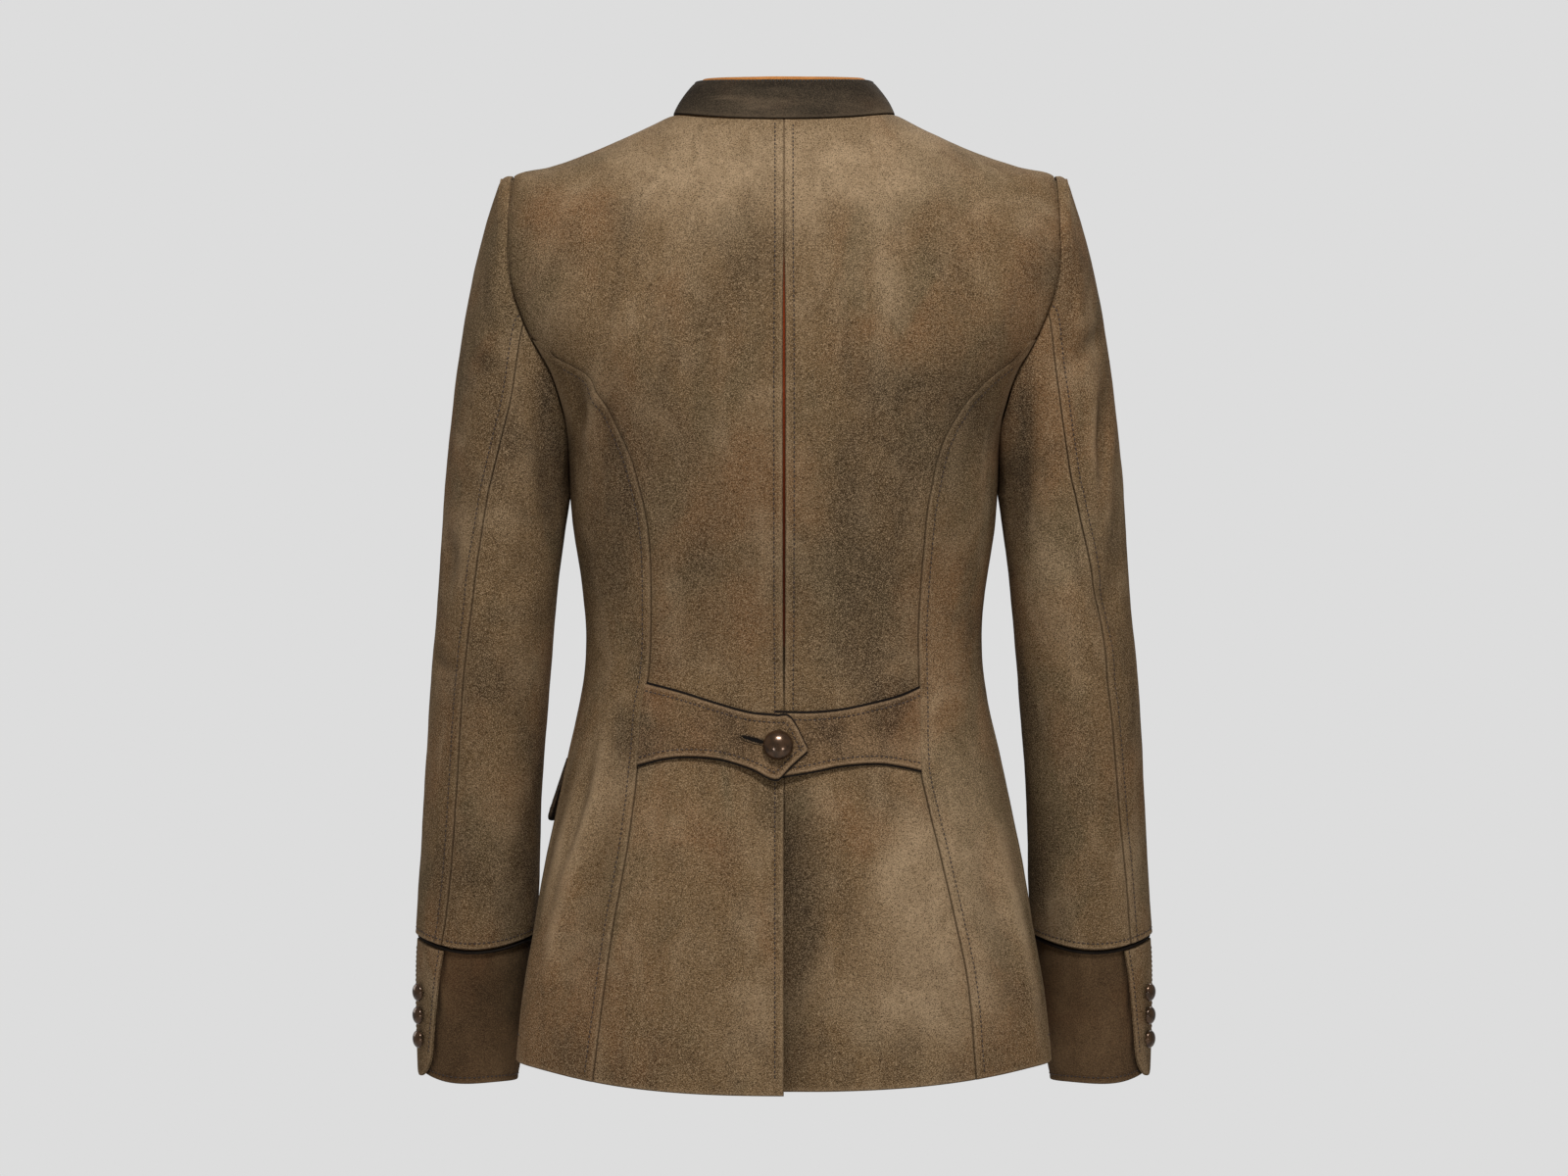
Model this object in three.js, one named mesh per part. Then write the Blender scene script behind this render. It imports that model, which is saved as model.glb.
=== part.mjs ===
// A woman's fitted suede jacket, filled out as if worn, with nobody in it.
// Millimetres. +Z is up, the front faces -Y and the wearer's left is +X.
// The origin is midway between the shoulders, level with the sides of the neck seam.
//
// The body is a smooth surface of rings round the figure, read from a table of sections. A ring's angle is 0 at
// the centre back, 90 degrees at the wearer's left side and 180 at the centre front. Each cut piece is a stretch of
// that surface between two seams, given the hide's thickness. What lies on a piece is made from its points, moved out.
import * as THREE from "three";

const HIDE = 2; // thickness of the suede with its interfacing
const SEAM_GAP = 0.3; // clear space between two pieces that meet
const LAY_GAP = 0.6; // clear space below what lies on a round cuff, whose flat facets differ
const DEGREE = Math.PI / 180;

// Heights, as drops below the origin
const NECK_DROP = 5.5; // neck seam at the centre back
const SHOULDER_DROP = 105; // section that passes through the shoulder tips
const PRINCESS_DROP = 168; // where the back princess seam leaves the armhole
const SIDE_PANEL_DROP = 170; // first row of the side panel, just below that point
const UNDERARM_DROP = 230;
const HEM_DROP = { backLeft: 665.5, backRight: 662.8, side: 648, front: 644 };

// The figure's sections: half widths behind and in front of the side line, depths to the back and front from the
// origin, where the widest point lies, and how far the ring hangs at its side and at the centre front.
const SECTIONS = [
  { drop: 5.5, halfBack: 77, halfFront: 77, back: 58, front: 60, middle: 0, sideDrop: -1.5, frontDrop: 62 },
  { drop: 26, halfBack: 101, halfFront: 101, back: 70, front: 71, middle: 0, sideDrop: 10.5, frontDrop: 79 },
  { drop: 50, halfBack: 131, halfFront: 131, back: 84, front: 84, middle: 0, sideDrop: 24, frontDrop: 97 },
  { drop: 78, halfBack: 161, halfFront: 161, back: 95, front: 96, middle: 0, sideDrop: 34.5, frontDrop: 115 },
  { drop: 105, halfBack: 187, halfFront: 187, back: 102, front: 105, middle: 0, sideDrop: 40.8, frontDrop: 132 },
  { drop: 110, halfBack: 193, halfFront: 190, back: 103, front: 106, middle: 0, sideDrop: 50, frontDrop: 135.5 },
  { drop: 117, halfBack: 200, halfFront: 192, back: 104, front: 108, middle: 0, sideDrop: 62, frontDrop: 141 },
  { drop: 125, halfBack: 206, halfFront: 190.5, back: 105, front: 110, middle: 0, sideDrop: 76, frontDrop: 147 },
  { drop: 145, halfBack: 205, halfFront: 180.5, back: 107, front: 114, middle: 0, sideDrop: 112, frontDrop: 162 },
  { drop: 165, halfBack: 193, halfFront: 170, back: 108, front: 117, middle: 0, sideDrop: 146, frontDrop: 177 },
  { drop: 190, halfBack: 171, halfFront: 158.5, back: 108, front: 120, middle: 0, sideDrop: 180, frontDrop: 195 },
  { drop: 210, halfBack: 155.5, halfFront: 151.5, back: 107, front: 121, middle: 0, sideDrop: 208, frontDrop: 211.5 },
  { drop: 230, halfBack: 149, halfFront: 149, back: 105, front: 121, middle: 1, sideDrop: 230, frontDrop: 230 },
  { drop: 280, halfBack: 145.8, halfFront: 145.8, back: 98, front: 114, middle: 5, sideDrop: 280, frontDrop: 280 },
  { drop: 330, halfBack: 139, halfFront: 139, back: 90, front: 101, middle: 4, sideDrop: 330, frontDrop: 330 },
  { drop: 365, halfBack: 137, halfFront: 137, back: 87, front: 95, middle: 2, sideDrop: 365, frontDrop: 365 },
  { drop: 400, halfBack: 140.5, halfFront: 140.5, back: 90, front: 97, middle: 3, sideDrop: 400, frontDrop: 400 },
  { drop: 440, halfBack: 149, halfFront: 149, back: 98, front: 103, middle: 8, sideDrop: 440, frontDrop: 440 },
  { drop: 480, halfBack: 157.5, halfFront: 157.5, back: 108, front: 110, middle: 14, sideDrop: 480, frontDrop: 480 },
  { drop: 520, halfBack: 165.5, halfFront: 165.5, back: 117, front: 116, middle: 22, sideDrop: 520, frontDrop: 520 },
  { drop: 560, halfBack: 171.5, halfFront: 171.5, back: 124, front: 121, middle: 29, sideDrop: 560, frontDrop: 560 },
  { drop: 600, halfBack: 176.5, halfFront: 176.5, back: 129, front: 125, middle: 34, sideDrop: 600, frontDrop: 600 },
  { drop: 640, halfBack: 179.5, halfFront: 179.5, back: 133, front: 127, middle: 38, sideDrop: 640, frontDrop: 640 },
  { drop: 680, halfBack: 181, halfFront: 181, back: 136, front: 129, middle: 40, sideDrop: 680, frontDrop: 680 },
];
const BACK_POWER = 0.8; // below 1 the ring is squarer than an ellipse, as a flat back is
const FRONT_POWER = { top: 0.8, hip: 1, from: 300, to: 480 }; // the front grows rounder below the bust

// Soft forms that the cut gives: how far out, and where, as an angle and a drop with their spreads.
const BULGES = [
  { name: "shoulder blade", out: 4, angle: 36, drop: 150, angleSpread: 20, dropSpread: 45 },
  { name: "bust", out: 13, angle: 140, drop: 222, angleSpread: 22, dropSpread: 42 },
  { name: "lapped seat", out: 3, angle: 30, drop: 520, angleSpread: 18, dropSpread: 60 },
];

// The flare's soft fold on each side of the skirt: where its ridge lies across, and how far it stands out.
const FLARE_FOLD = [
  { drop: 430, x: 115, out: 0 },
  { drop: 460, x: 125, out: 2 },
  { drop: 500, x: 140, out: 3.5 },
  { drop: 550, x: 156, out: 4.5 },
  { drop: 600, x: 170, out: 5 },
  { drop: 680, x: 178, out: 5 },
];
const FLARE_FOLD_SPREAD = 9; // degrees

// Half widths at which the armhole cuts the back and the front
const ARMHOLE = [
  { drop: 105, back: 187, front: 187 },
  { drop: 110, back: 187.3, front: 186 },
  { drop: 117, back: 187.6, front: 184 },
  { drop: 125, back: 188, front: 180.5 },
  { drop: 145, back: 185, front: 170.5 },
  { drop: 165, back: 174, front: 160.5 },
  { drop: 190, back: 158, front: 151 },
  { drop: 210, back: 150.5, front: 148 },
  { drop: 222, back: 149.1, front: 148.6 },
  { drop: 230, back: 149, front: 149 },
];

// Distance across of the back princess seams, from the armhole to the hem
const PRINCESS = [
  { drop: 168, left: 172.3, right: 172.3 },
  { drop: 171, left: 167, right: 168.8 },
  { drop: 175.5, left: 161.3, right: 163.9 },
  { drop: 182.5, left: 143.2, right: 151.8 },
  { drop: 186, left: 134.6, right: 145 },
  { drop: 191, left: 128.9, right: 137 },
  { drop: 197.5, left: 125.3, right: 128.8 },
  { drop: 206, left: 119.8, right: 120.2 },
  { drop: 221, left: 111.5, right: 110.5 },
  { drop: 238, left: 104.2, right: 104.4 },
  { drop: 255, left: 99.2, right: 100.9 },
  { drop: 275, left: 94.5, right: 97.3 },
  { drop: 298, left: 91.6, right: 95.4 },
  { drop: 352, left: 90.8, right: 91.8 },
  { drop: 386, left: 92.4, right: 91.8 },
  { drop: 404, left: 95.7, right: 91.8 },
  { drop: 448, left: 98.4, right: 91.8 },
  { drop: 472, left: 100.6, right: 96 },
  { drop: 505, left: 104.9, right: 103.6 },
  { drop: 548, left: 113, right: 113.5 },
  { drop: 592, left: 120.2, right: 123.2 },
  { drop: 656, left: 129.8, right: 130 },
  { drop: 680, left: 133, right: 133 },
];

// Angle of the side seam
const SIDE_SEAM = [
  { drop: 230, angle: 90 },
  { drop: 300, angle: 88 },
  { drop: 400, angle: 84 },
  { drop: 520, angle: 79 },
  { drop: 680, angle: 78 },
];

// Rows that all body panels share, so that two edges on one seam have the same corners
const PANEL_ROWS = [
  5.5, 17, 34, 56, 82, 105, 108, 114, 123, 135, 150, 168, 170, 175, 181, 188, 197, 208, 219, 230, 262, 298, 334,
  366, 395, 420, 445, 488, 520, 572,
];

// Reads one column of a table at a place along another, on a smooth curve through the rows.
function column(rows, along, name, place) {
  const last = rows.length - 1;
  if (place <= rows[0][along]) return rows[0][name];
  if (place >= rows[last][along]) return rows[last][name];
  let i = 0;
  while (rows[i + 1][along] < place) i += 1;
  const slope = (k) => {
    const before = rows[Math.max(k - 1, 0)];
    const after = rows[Math.min(k + 1, last)];
    return (after[name] - before[name]) / (after[along] - before[along]);
  };
  const step = rows[i + 1][along] - rows[i][along];
  const t = (place - rows[i][along]) / step;
  const rise = rows[i + 1][name] - rows[i][name];
  return (
    rows[i][name] +
    rise * t * t * (3 - 2 * t) +
    step * t * (1 - t) * (slope(i) * (1 - t) - slope(i + 1) * t)
  );
}

const mix = (a, b, t) => a + (b - a) * t;
const smooth = (from, to, value) => THREE.MathUtils.smoothstep(value, from, to);
const bell = (offset, spread) => Math.exp(-((offset / spread) ** 2) / 2);
const signedPower = (value, power) => Math.sign(value) * Math.abs(value) ** power;

const frontPower = (drop) => mix(FRONT_POWER.top, FRONT_POWER.hip, smooth(FRONT_POWER.from, FRONT_POWER.to, drop));

// Where a ring is a given distance across from the middle, behind or in front of the side line.
function angleAtBack(x, drop) {
  const share = Math.min(Math.abs(x) / column(SECTIONS, "drop", "halfBack", drop), 1);
  return Math.sign(x) * Math.asin(share ** (1 / BACK_POWER));
}
function angleAtFront(x, drop) {
  const share = Math.min(Math.abs(x) / column(SECTIONS, "drop", "halfFront", drop), 1);
  return Math.PI - Math.sign(x) * Math.asin(share ** (1 / frontPower(drop)));
}

// How far the soft forms and the flare's fold stand out of the plain ring.
function bodyRelief(angle, drop) {
  const turn = Math.acos(Math.cos(angle)) / DEGREE;
  const soft = BULGES.reduce(
    (sum, b) => sum + b.out * bell(turn - b.angle, b.angleSpread) * bell(drop - b.drop, b.dropSpread),
    0,
  );
  if (drop < FLARE_FOLD[0].drop) return soft;
  const ridge = angleAtBack(column(FLARE_FOLD, "drop", "x", drop), drop) / DEGREE;
  return soft + column(FLARE_FOLD, "drop", "out", drop) * bell(turn - ridge, FLARE_FOLD_SPREAD);
}

// The plain figure at an angle and a drop, before the shoulders are rounded.
function figurePoint(angle, drop) {
  const at = (name) => column(SECTIONS, "drop", name, drop);
  const behind = Math.cos(angle) >= 0;
  const half = behind ? at("halfBack") : at("halfFront");
  const reach = behind ? at("back") - at("middle") : at("front") + at("middle");
  const centreDrop = behind ? drop : at("frontDrop");
  const power = behind ? BACK_POWER : frontPower(drop);
  const out = bodyRelief(angle, drop);
  return new THREE.Vector3(
    half * signedPower(Math.sin(angle), power) + out * Math.sin(angle),
    at("middle") + reach * signedPower(Math.cos(angle), power) + out * Math.cos(angle),
    -mix(at("sideDrop"), centreDrop, Math.cos(angle) ** 2),
  );
}

// The turn from the shoulder slope to the chest and back is sharp at the tips, and rounded between them.
const SHOULDER_ROUND = { drop: 112, spread: 26, reach: 26, shares: [1, 2, 3, 2, 1] };

// A point of the body's outer surface. A negative angle is on the wearer's right.
function bodyPoint(angle, drop) {
  const near = bell(drop - SHOULDER_ROUND.drop, SHOULDER_ROUND.spread);
  const reach = SHOULDER_ROUND.reach * near * Math.sqrt(1 - Math.abs(Math.sin(angle)));
  if (reach < 0.1) return figurePoint(angle, drop);
  const whole = SHOULDER_ROUND.shares.reduce((sum, share) => sum + share, 0);
  return SHOULDER_ROUND.shares.reduce((sum, share, k) => {
    return sum.addScaledVector(figurePoint(angle, drop + reach * (k / 2 - 1)), share / whole);
  }, new THREE.Vector3());
}

// The outward direction of a surface at two parameters, from its slopes there.
function normalOf(surface, a, b, stepA, stepB, towards) {
  const alongA = surface(a + stepA, b).sub(surface(a - stepA, b));
  const alongB = surface(a, b + stepB).sub(surface(a, b - stepB));
  const normal = alongA.cross(alongB).normalize();
  return normal.dot(towards) < 0 ? normal.negate() : normal;
}

function bodyNormal(angle, drop) {
  const outward = new THREE.Vector3(Math.sin(angle), Math.cos(angle), 0.3);
  return normalOf(bodyPoint, angle, drop, 0.004, 0.4, outward);
}
const onBody = (angle, drop) => ({ point: bodyPoint(angle, drop), normal: bodyNormal(angle, drop) });

// Drop of the hem at an angle, behind the side line on one of the sides, or in front of it.
function hemDrop(side, angle) {
  const behind = side > 0 ? HEM_DROP.backLeft : HEM_DROP.backRight;
  return mix(HEM_DROP.side, Math.cos(angle) >= 0 ? behind : HEM_DROP.front, Math.cos(angle) ** 2);
}

// Moves the border of a grid of places towards its inside, square to the border, by the given distances.
function insetGrid(grid, insets) {
  const rows = grid.length;
  const columns = grid[0].length;
  const shifts = grid.map((row) => row.map(() => new THREE.Vector3()));
  const move = (i, j, along, inner, distance) => {
    if (!distance) return;
    const inward = grid[inner[0]][inner[1]].point.clone().sub(grid[i][j].point);
    inward.addScaledVector(along, -inward.dot(along)).normalize();
    shifts[i][j].addScaledVector(inward, distance);
  };
  const direction = (from, to) => to.point.clone().sub(from.point).normalize();
  for (let j = 0; j < columns; j += 1) {
    const next = Math.min(j + 1, columns - 1);
    const before = Math.max(j - 1, 0);
    move(0, j, direction(grid[0][before], grid[0][next]), [1, j], insets.top);
    move(rows - 1, j, direction(grid[rows - 1][before], grid[rows - 1][next]), [rows - 2, j], insets.bottom);
  }
  for (let i = 0; i < rows; i += 1) {
    const next = Math.min(i + 1, rows - 1);
    const before = Math.max(i - 1, 0);
    move(i, 0, direction(grid[before][0], grid[next][0]), [i, 1], insets.first);
    move(i, columns - 1, direction(grid[before][columns - 1], grid[next][columns - 1]), [i, columns - 2], insets.last);
  }
  grid.forEach((row, i) => row.forEach((place, j) => place.point.add(shifts[i][j])));
  return grid;
}

// Closes a grid of places into one solid between two distances along their outward directions.
function wall(grid, { lift = 0, thickness = HIDE } = {}) {
  const rows = grid.length;
  const columns = grid[0].length;
  const positions = [];
  for (const depth of [0, thickness]) {
    for (const row of grid) {
      for (const place of row) {
        const out = (place.lift ?? 0) + lift - depth;
        positions.push(...place.point.clone().addScaledVector(place.normal, out).toArray());
      }
    }
  }
  const outer = (i, j) => i * columns + j;
  const inner = (i, j) => rows * columns + i * columns + j;
  const triangles = [];
  const quad = (a, b, c, d) => triangles.push(a, b, c, a, c, d);
  const span = (a, b) => a.point.distanceTo(b.point);
  for (let i = 0; i < rows - 1; i += 1) {
    for (let j = 0; j < columns - 1; j += 1) {
      if (span(grid[i][j], grid[i + 1][j + 1]) <= span(grid[i][j + 1], grid[i + 1][j])) {
        quad(outer(i, j), outer(i + 1, j), outer(i + 1, j + 1), outer(i, j + 1));
        quad(inner(i, j), inner(i, j + 1), inner(i + 1, j + 1), inner(i + 1, j));
      } else {
        quad(outer(i + 1, j), outer(i + 1, j + 1), outer(i, j + 1), outer(i, j));
        quad(inner(i, j + 1), inner(i + 1, j + 1), inner(i + 1, j), inner(i, j));
      }
    }
  }
  for (let j = 0; j < columns - 1; j += 1) {
    quad(outer(0, j), outer(0, j + 1), inner(0, j + 1), inner(0, j));
    quad(outer(rows - 1, j + 1), outer(rows - 1, j), inner(rows - 1, j), inner(rows - 1, j + 1));
  }
  for (let i = 0; i < rows - 1; i += 1) {
    quad(outer(i + 1, 0), outer(i, 0), inner(i, 0), inner(i + 1, 0));
    quad(outer(i, columns - 1), outer(i + 1, columns - 1), inner(i + 1, columns - 1), inner(i, columns - 1));
  }
  return facingOut(positions, triangles);
}

// Makes the geometry, with its triangles turned round if they enclose a negative volume.
function facingOut(positions, triangles) {
  const corner = (k) => new THREE.Vector3().fromArray(positions, triangles[k] * 3);
  let volume = 0;
  for (let k = 0; k < triangles.length; k += 3) {
    volume += corner(k).dot(corner(k + 1).cross(corner(k + 2)));
  }
  const geometry = new THREE.BufferGeometry();
  geometry.setAttribute("position", new THREE.Float32BufferAttribute(positions, 3));
  geometry.setIndex(volume < 0 ? triangles.reverse() : triangles);
  geometry.computeVertexNormals();
  return geometry;
}

// The same grid on the other side of the body.
function onSide(side, grid) {
  if (side > 0) return grid;
  for (const row of grid) {
    for (const place of row) {
      place.point.x *= -1;
      place.normal.x *= -1;
    }
  }
  return grid;
}

// The mean of a bound over a stretch of drops, which steers the inner columns past the corner at the shoulder tip.
const STEADY = [-20, -10, 0, 10, 20];
const steadied = (bound, drop) => STEADY.reduce((sum, step) => sum + bound(drop + step), 0) / STEADY.length;

// The angles of a body panel's columns: its two edges as they are, and those between at even steps.
function panelAngles(first, last, drop, steps) {
  const from = steadied(first, drop);
  const to = steadied(last, drop);
  return Array.from({ length: steps + 1 }, (_, j) => {
    if (j === 0) return first(drop);
    return j === steps ? last(drop) : mix(from, to, j / steps);
  });
}

// A grid of places over a surface: one row for each entry of rows, and equal steps between two bounds.
function gridBetween(rows, steps, bounds, placeAt) {
  return rows.map((row) => {
    const [from, to] = bounds(row);
    return Array.from({ length: steps + 1 }, (_, j) => placeAt(mix(from, to, j / steps), row));
  });
}

const materials = {
  suede: new THREE.MeshStandardMaterial({ color: 0x7a634a, roughness: 0.95 }),
  dark: new THREE.MeshStandardMaterial({ color: 0x3a3129, roughness: 0.95 }),
  tan: new THREE.MeshStandardMaterial({ color: 0x9a6234, roughness: 0.7 }),
  rust: new THREE.MeshStandardMaterial({ color: 0x6e2f14, roughness: 0.8 }),
  button: new THREE.MeshStandardMaterial({ color: 0x3b2a20, roughness: 0.3, metalness: 0.4 }),
};

const jacket = new THREE.Group();
function addPiece(name, geometry, material) {
  const mesh = new THREE.Mesh(geometry, materials[material]);
  mesh.name = name;
  jacket.add(mesh);
  return mesh;
}

const SIDES = [
  { name: "left", side: 1 },
  { name: "right", side: -1 },
];
const princessX = (side, drop) => column(PRINCESS, "drop", side > 0 ? "left" : "right", drop);
const princessAngle = (side, drop) => angleAtBack(princessX(side, drop), drop);
const sideSeamAngle = (drop) => column(SIDE_SEAM, "drop", "angle", drop) * DEGREE;
const armholeBackAngle = (drop) => angleAtBack(column(ARMHOLE, "drop", "back", drop), drop);
const armholeFrontAngle = (drop) => angleAtFront(column(ARMHOLE, "drop", "front", drop), drop);

// The rows of a body panel from a drop down to the hem, which is marked by its own name.
const rowsFrom = (top) => [...PANEL_ROWS.filter((drop) => drop >= top), "hem"];
const onPanel = (side, angle, row) => onBody(angle, row === "hem" ? hemDrop(side, angle) : row);
const dropOf = (row) => (row === "hem" ? HEM_DROP.side : row);

// Back panels: from the centre back to the shoulder seam, then the armhole, then the princess seam. The centre
// seam parts into a slit over a folded pleat, and the left panel laps the right one in a vent at the hem.
const PLEAT_SLIT = [
  { drop: 60, half: 0.15 },
  { drop: 92, half: 0.2 },
  { drop: 150, half: 0.75 },
  { drop: 260, half: 0.8 },
  { drop: 350, half: 0.6 },
  { drop: 395, half: 0.15 },
];
const VENT = { top: 440, full: 488, wide: 520, underlap: 26, fade: 34, sink: 2.6, raise: 0.6 };

function backOuterAngle(side, drop) {
  if (drop <= SHOULDER_DROP) return Math.PI / 2;
  return drop < PRINCESS_DROP ? armholeBackAngle(drop) : princessAngle(side, drop);
}

function backPanel(side) {
  const under = side < 0;
  const centre = (drop) => {
    const lap = under ? VENT.underlap * THREE.MathUtils.clamp((drop - VENT.full) / (VENT.wide - VENT.full), 0, 1) : 0;
    return angleAtBack(lap > 0 ? -lap : column(PLEAT_SLIT, "drop", "half", drop), drop);
  };
  const outer = (drop) => backOuterAngle(side, drop);
  const grid = rowsFrom(NECK_DROP).map((row) => {
    return panelAngles(centre, outer, dropOf(row), 7).map((angle) => onPanel(side, angle, row));
  });
  for (const row of grid) {
    for (const place of row) {
      const opened = smooth(VENT.top, VENT.full, -place.point.z);
      const near = 1 - smooth(0, VENT.fade, place.point.x);
      place.lift = opened * near * (under ? -VENT.sink : VENT.raise);
    }
  }
  return wall(onSide(side, insetGrid(grid, { last: SEAM_GAP / 2 })));
}

// Side panels: from the princess seam to the armhole's lower edge, then to the side seam.
function sidePanel(side) {
  const bounds = (row) => {
    const drop = dropOf(row);
    return [princessAngle(side, drop), drop < UNDERARM_DROP ? armholeBackAngle(drop) : sideSeamAngle(drop)];
  };
  const grid = gridBetween(rowsFrom(SIDE_PANEL_DROP), 5, bounds, (angle, row) => onPanel(side, angle, row));
  return wall(onSide(side, insetGrid(grid, { first: SEAM_GAP / 2, last: SEAM_GAP / 2 })));
}

// Front panels: from the side seam, armhole and shoulder seam to the closing, where the right one laps the left.
const CLOSING = { columns: [26, 18, 6, -6, -18], fade: 62, raise: 2.5 };

function frontOuterAngle(drop) {
  if (drop <= SHOULDER_DROP) return Math.PI / 2;
  return drop < UNDERARM_DROP ? armholeFrontAngle(drop) : sideSeamAngle(drop);
}

function frontPanel(side) {
  const steps = 6;
  const grid = rowsFrom(NECK_DROP).map((row) => {
    const drop = dropOf(row);
    const lapped = CLOSING.columns.slice(1).map((x) => angleAtFront(x, drop));
    const wide = panelAngles(frontOuterAngle, (at) => angleAtFront(CLOSING.columns[0], at), drop, steps);
    return [...wide, ...lapped].map((angle) => onPanel(side, angle, row));
  });
  for (const row of grid) {
    for (const place of row) {
      const near = 1 - smooth(CLOSING.columns[0], CLOSING.fade, place.point.x);
      place.lift = side < 0 ? near * CLOSING.raise : 0;
    }
  }
  return wall(onSide(side, insetGrid(grid, { first: SEAM_GAP / 2 })));
}

for (const { name, side } of SIDES) {
  addPiece(`back_${name}`, backPanel(side), "suede");
  addPiece(`side_${name}`, sidePanel(side), "suede");
  addPiece(`front_${name}`, frontPanel(side), "suede");
}

// The pleat's underlay, seen through the slit in the centre back seam, with its narrow stay up to the neck.
const UNDERLAY = { top: 15, bottom: 392, stay: 4, half: 24, widenFrom: 105, widenTo: 150, thickness: 1.5 };
function pleatUnderlay() {
  const rows = PANEL_ROWS.filter((drop) => drop >= UNDERLAY.top && drop <= UNDERLAY.bottom);
  const bounds = (drop) => {
    const half = mix(UNDERLAY.stay, UNDERLAY.half, smooth(UNDERLAY.widenFrom, UNDERLAY.widenTo, drop));
    return [angleAtBack(-half, drop), angleAtBack(half, drop)];
  };
  return wall(gridBetween(rows, 4, bounds, onBody), { lift: -HIDE - SEAM_GAP, thickness: UNDERLAY.thickness });
}
addPiece("pleat_underlay", pleatUnderlay(), "rust");

// Stand collar: from the neck seam to a narrower top ring, with a tan facing behind it that shows as a rim.
const COLLAR_TOP = { half: 60.3, back: 46, front: 57, backRise: 23.6, sideRise: 26, frontRise: -27 };
const COLLAR_BOW = 2; // how far the stand curves out between its edges
const COLLAR_END = 179.2 * DEGREE;
const FACING = { thickness: 1.1, rise: 0.035 };

function collarPoint(angle, rise) {
  const behind = Math.cos(angle) >= 0;
  const power = mix(BACK_POWER, 0.9, rise);
  const top = new THREE.Vector3(
    COLLAR_TOP.half * signedPower(Math.sin(angle), power),
    (behind ? COLLAR_TOP.back : COLLAR_TOP.front) * signedPower(Math.cos(angle), power),
    mix(COLLAR_TOP.sideRise, behind ? COLLAR_TOP.backRise : COLLAR_TOP.frontRise, Math.cos(angle) ** 2),
  );
  const point = bodyPoint(angle, NECK_DROP).lerp(top, rise);
  const bow = COLLAR_BOW * 4 * rise * (1 - rise);
  return point.add(new THREE.Vector3(Math.sin(angle) * bow, Math.cos(angle) * bow, 0));
}
function onCollar(angle, rise) {
  const outward = new THREE.Vector3(Math.sin(angle), Math.cos(angle), 0);
  return {
    point: collarPoint(angle, rise),
    normal: normalOf(collarPoint, angle, rise, 0.004, 0.01, outward),
  };
}
// Where the collar starts: close to the neck seam, a little higher over the lapped fronts.
const collarFoot = (angle) => mix(0.012, 0.05, smooth(0.3, 0.9, -Math.cos(angle)));
function collarWall(rows, options) {
  const bounds = () => [-COLLAR_END, COLLAR_END];
  const placeAt = (angle, rise) => onCollar(angle, Math.max(rise, collarFoot(angle)));
  return wall(gridBetween(rows, 32, bounds, placeAt), options);
}
addPiece("collar", collarWall([0, 0.33, 0.67, 1], {}), "dark");
addPiece(
  "collar_facing",
  collarWall([0, 0.5, 1 + FACING.rise], { lift: -HIDE - SEAM_GAP, thickness: FACING.thickness }),
  "tan",
);

// Sleeves: a tube of level sections below the underarm, and a cap that grows out of the armhole into it. The turn
// round the sleeve is 0 at its back, 90 degrees at its outside, 180 at its front and -90 at its inside.
const SLEEVE = [
  { drop: 262, outer: 236, inner: 148.8, back: 54, front: -60 },
  { drop: 299, outer: 238.4, inner: 153.7, back: 52, front: -57 },
  { drop: 340, outer: 241.1, inner: 158.1, back: 50, front: -54 },
  { drop: 381, outer: 244.8, inner: 161.5, back: 47, front: -52 },
  { drop: 422, outer: 247.4, inner: 164.8, back: 42, front: -53 },
  { drop: 462, outer: 250.4, inner: 167.8, back: 36, front: -57 },
  { drop: 503, outer: 252.9, inner: 169.8, back: 29, front: -62 },
  { drop: 544, outer: 255.5, inner: 171, back: 22, front: -67 },
  { drop: 590, outer: 259.6, inner: 172.5, back: 14, front: -72 },
];
const CUFF = [
  { drop: 550, outer: 252.4, inner: 174.6, back: 17.4, front: -64.2 },
  { drop: 590, outer: 254.8, inner: 176, back: 10.4, front: -68.8 },
  { drop: 640, outer: 255, inner: 182, back: 2, front: -75 },
  { drop: 680, outer: 254, inner: 188.4, back: -3, front: -80 },
];
const SLEEVE_TOP_DROP = 262;
const SLEEVE_EDGE = { outer: 566.5, inner: 566.5, back: 576 };
const CUFF_TOP_DROP = 556;
const CUFF_EDGE = { outer: 663, inner: 670.5, back: 670.5 };
const SLEEVE_LAST_DROP = 590;

// The armhole's edge as points, from the shoulder tip down to the underarm, with the length run so far.
function armholeEdge(angleAt) {
  const count = 80;
  let run = 0;
  let before = null;
  return Array.from({ length: count + 1 }, (_, i) => {
    const drop = mix(SHOULDER_DROP, UNDERARM_DROP, (i / count) ** 1.6);
    const point = bodyPoint(angleAt(drop), drop);
    run += before ? point.distanceTo(before) : 0;
    before = point;
    return { run, point };
  });
}
const ARMHOLE_EDGES = { back: armholeEdge(armholeBackAngle), front: armholeEdge(armholeFrontAngle) };

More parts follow.
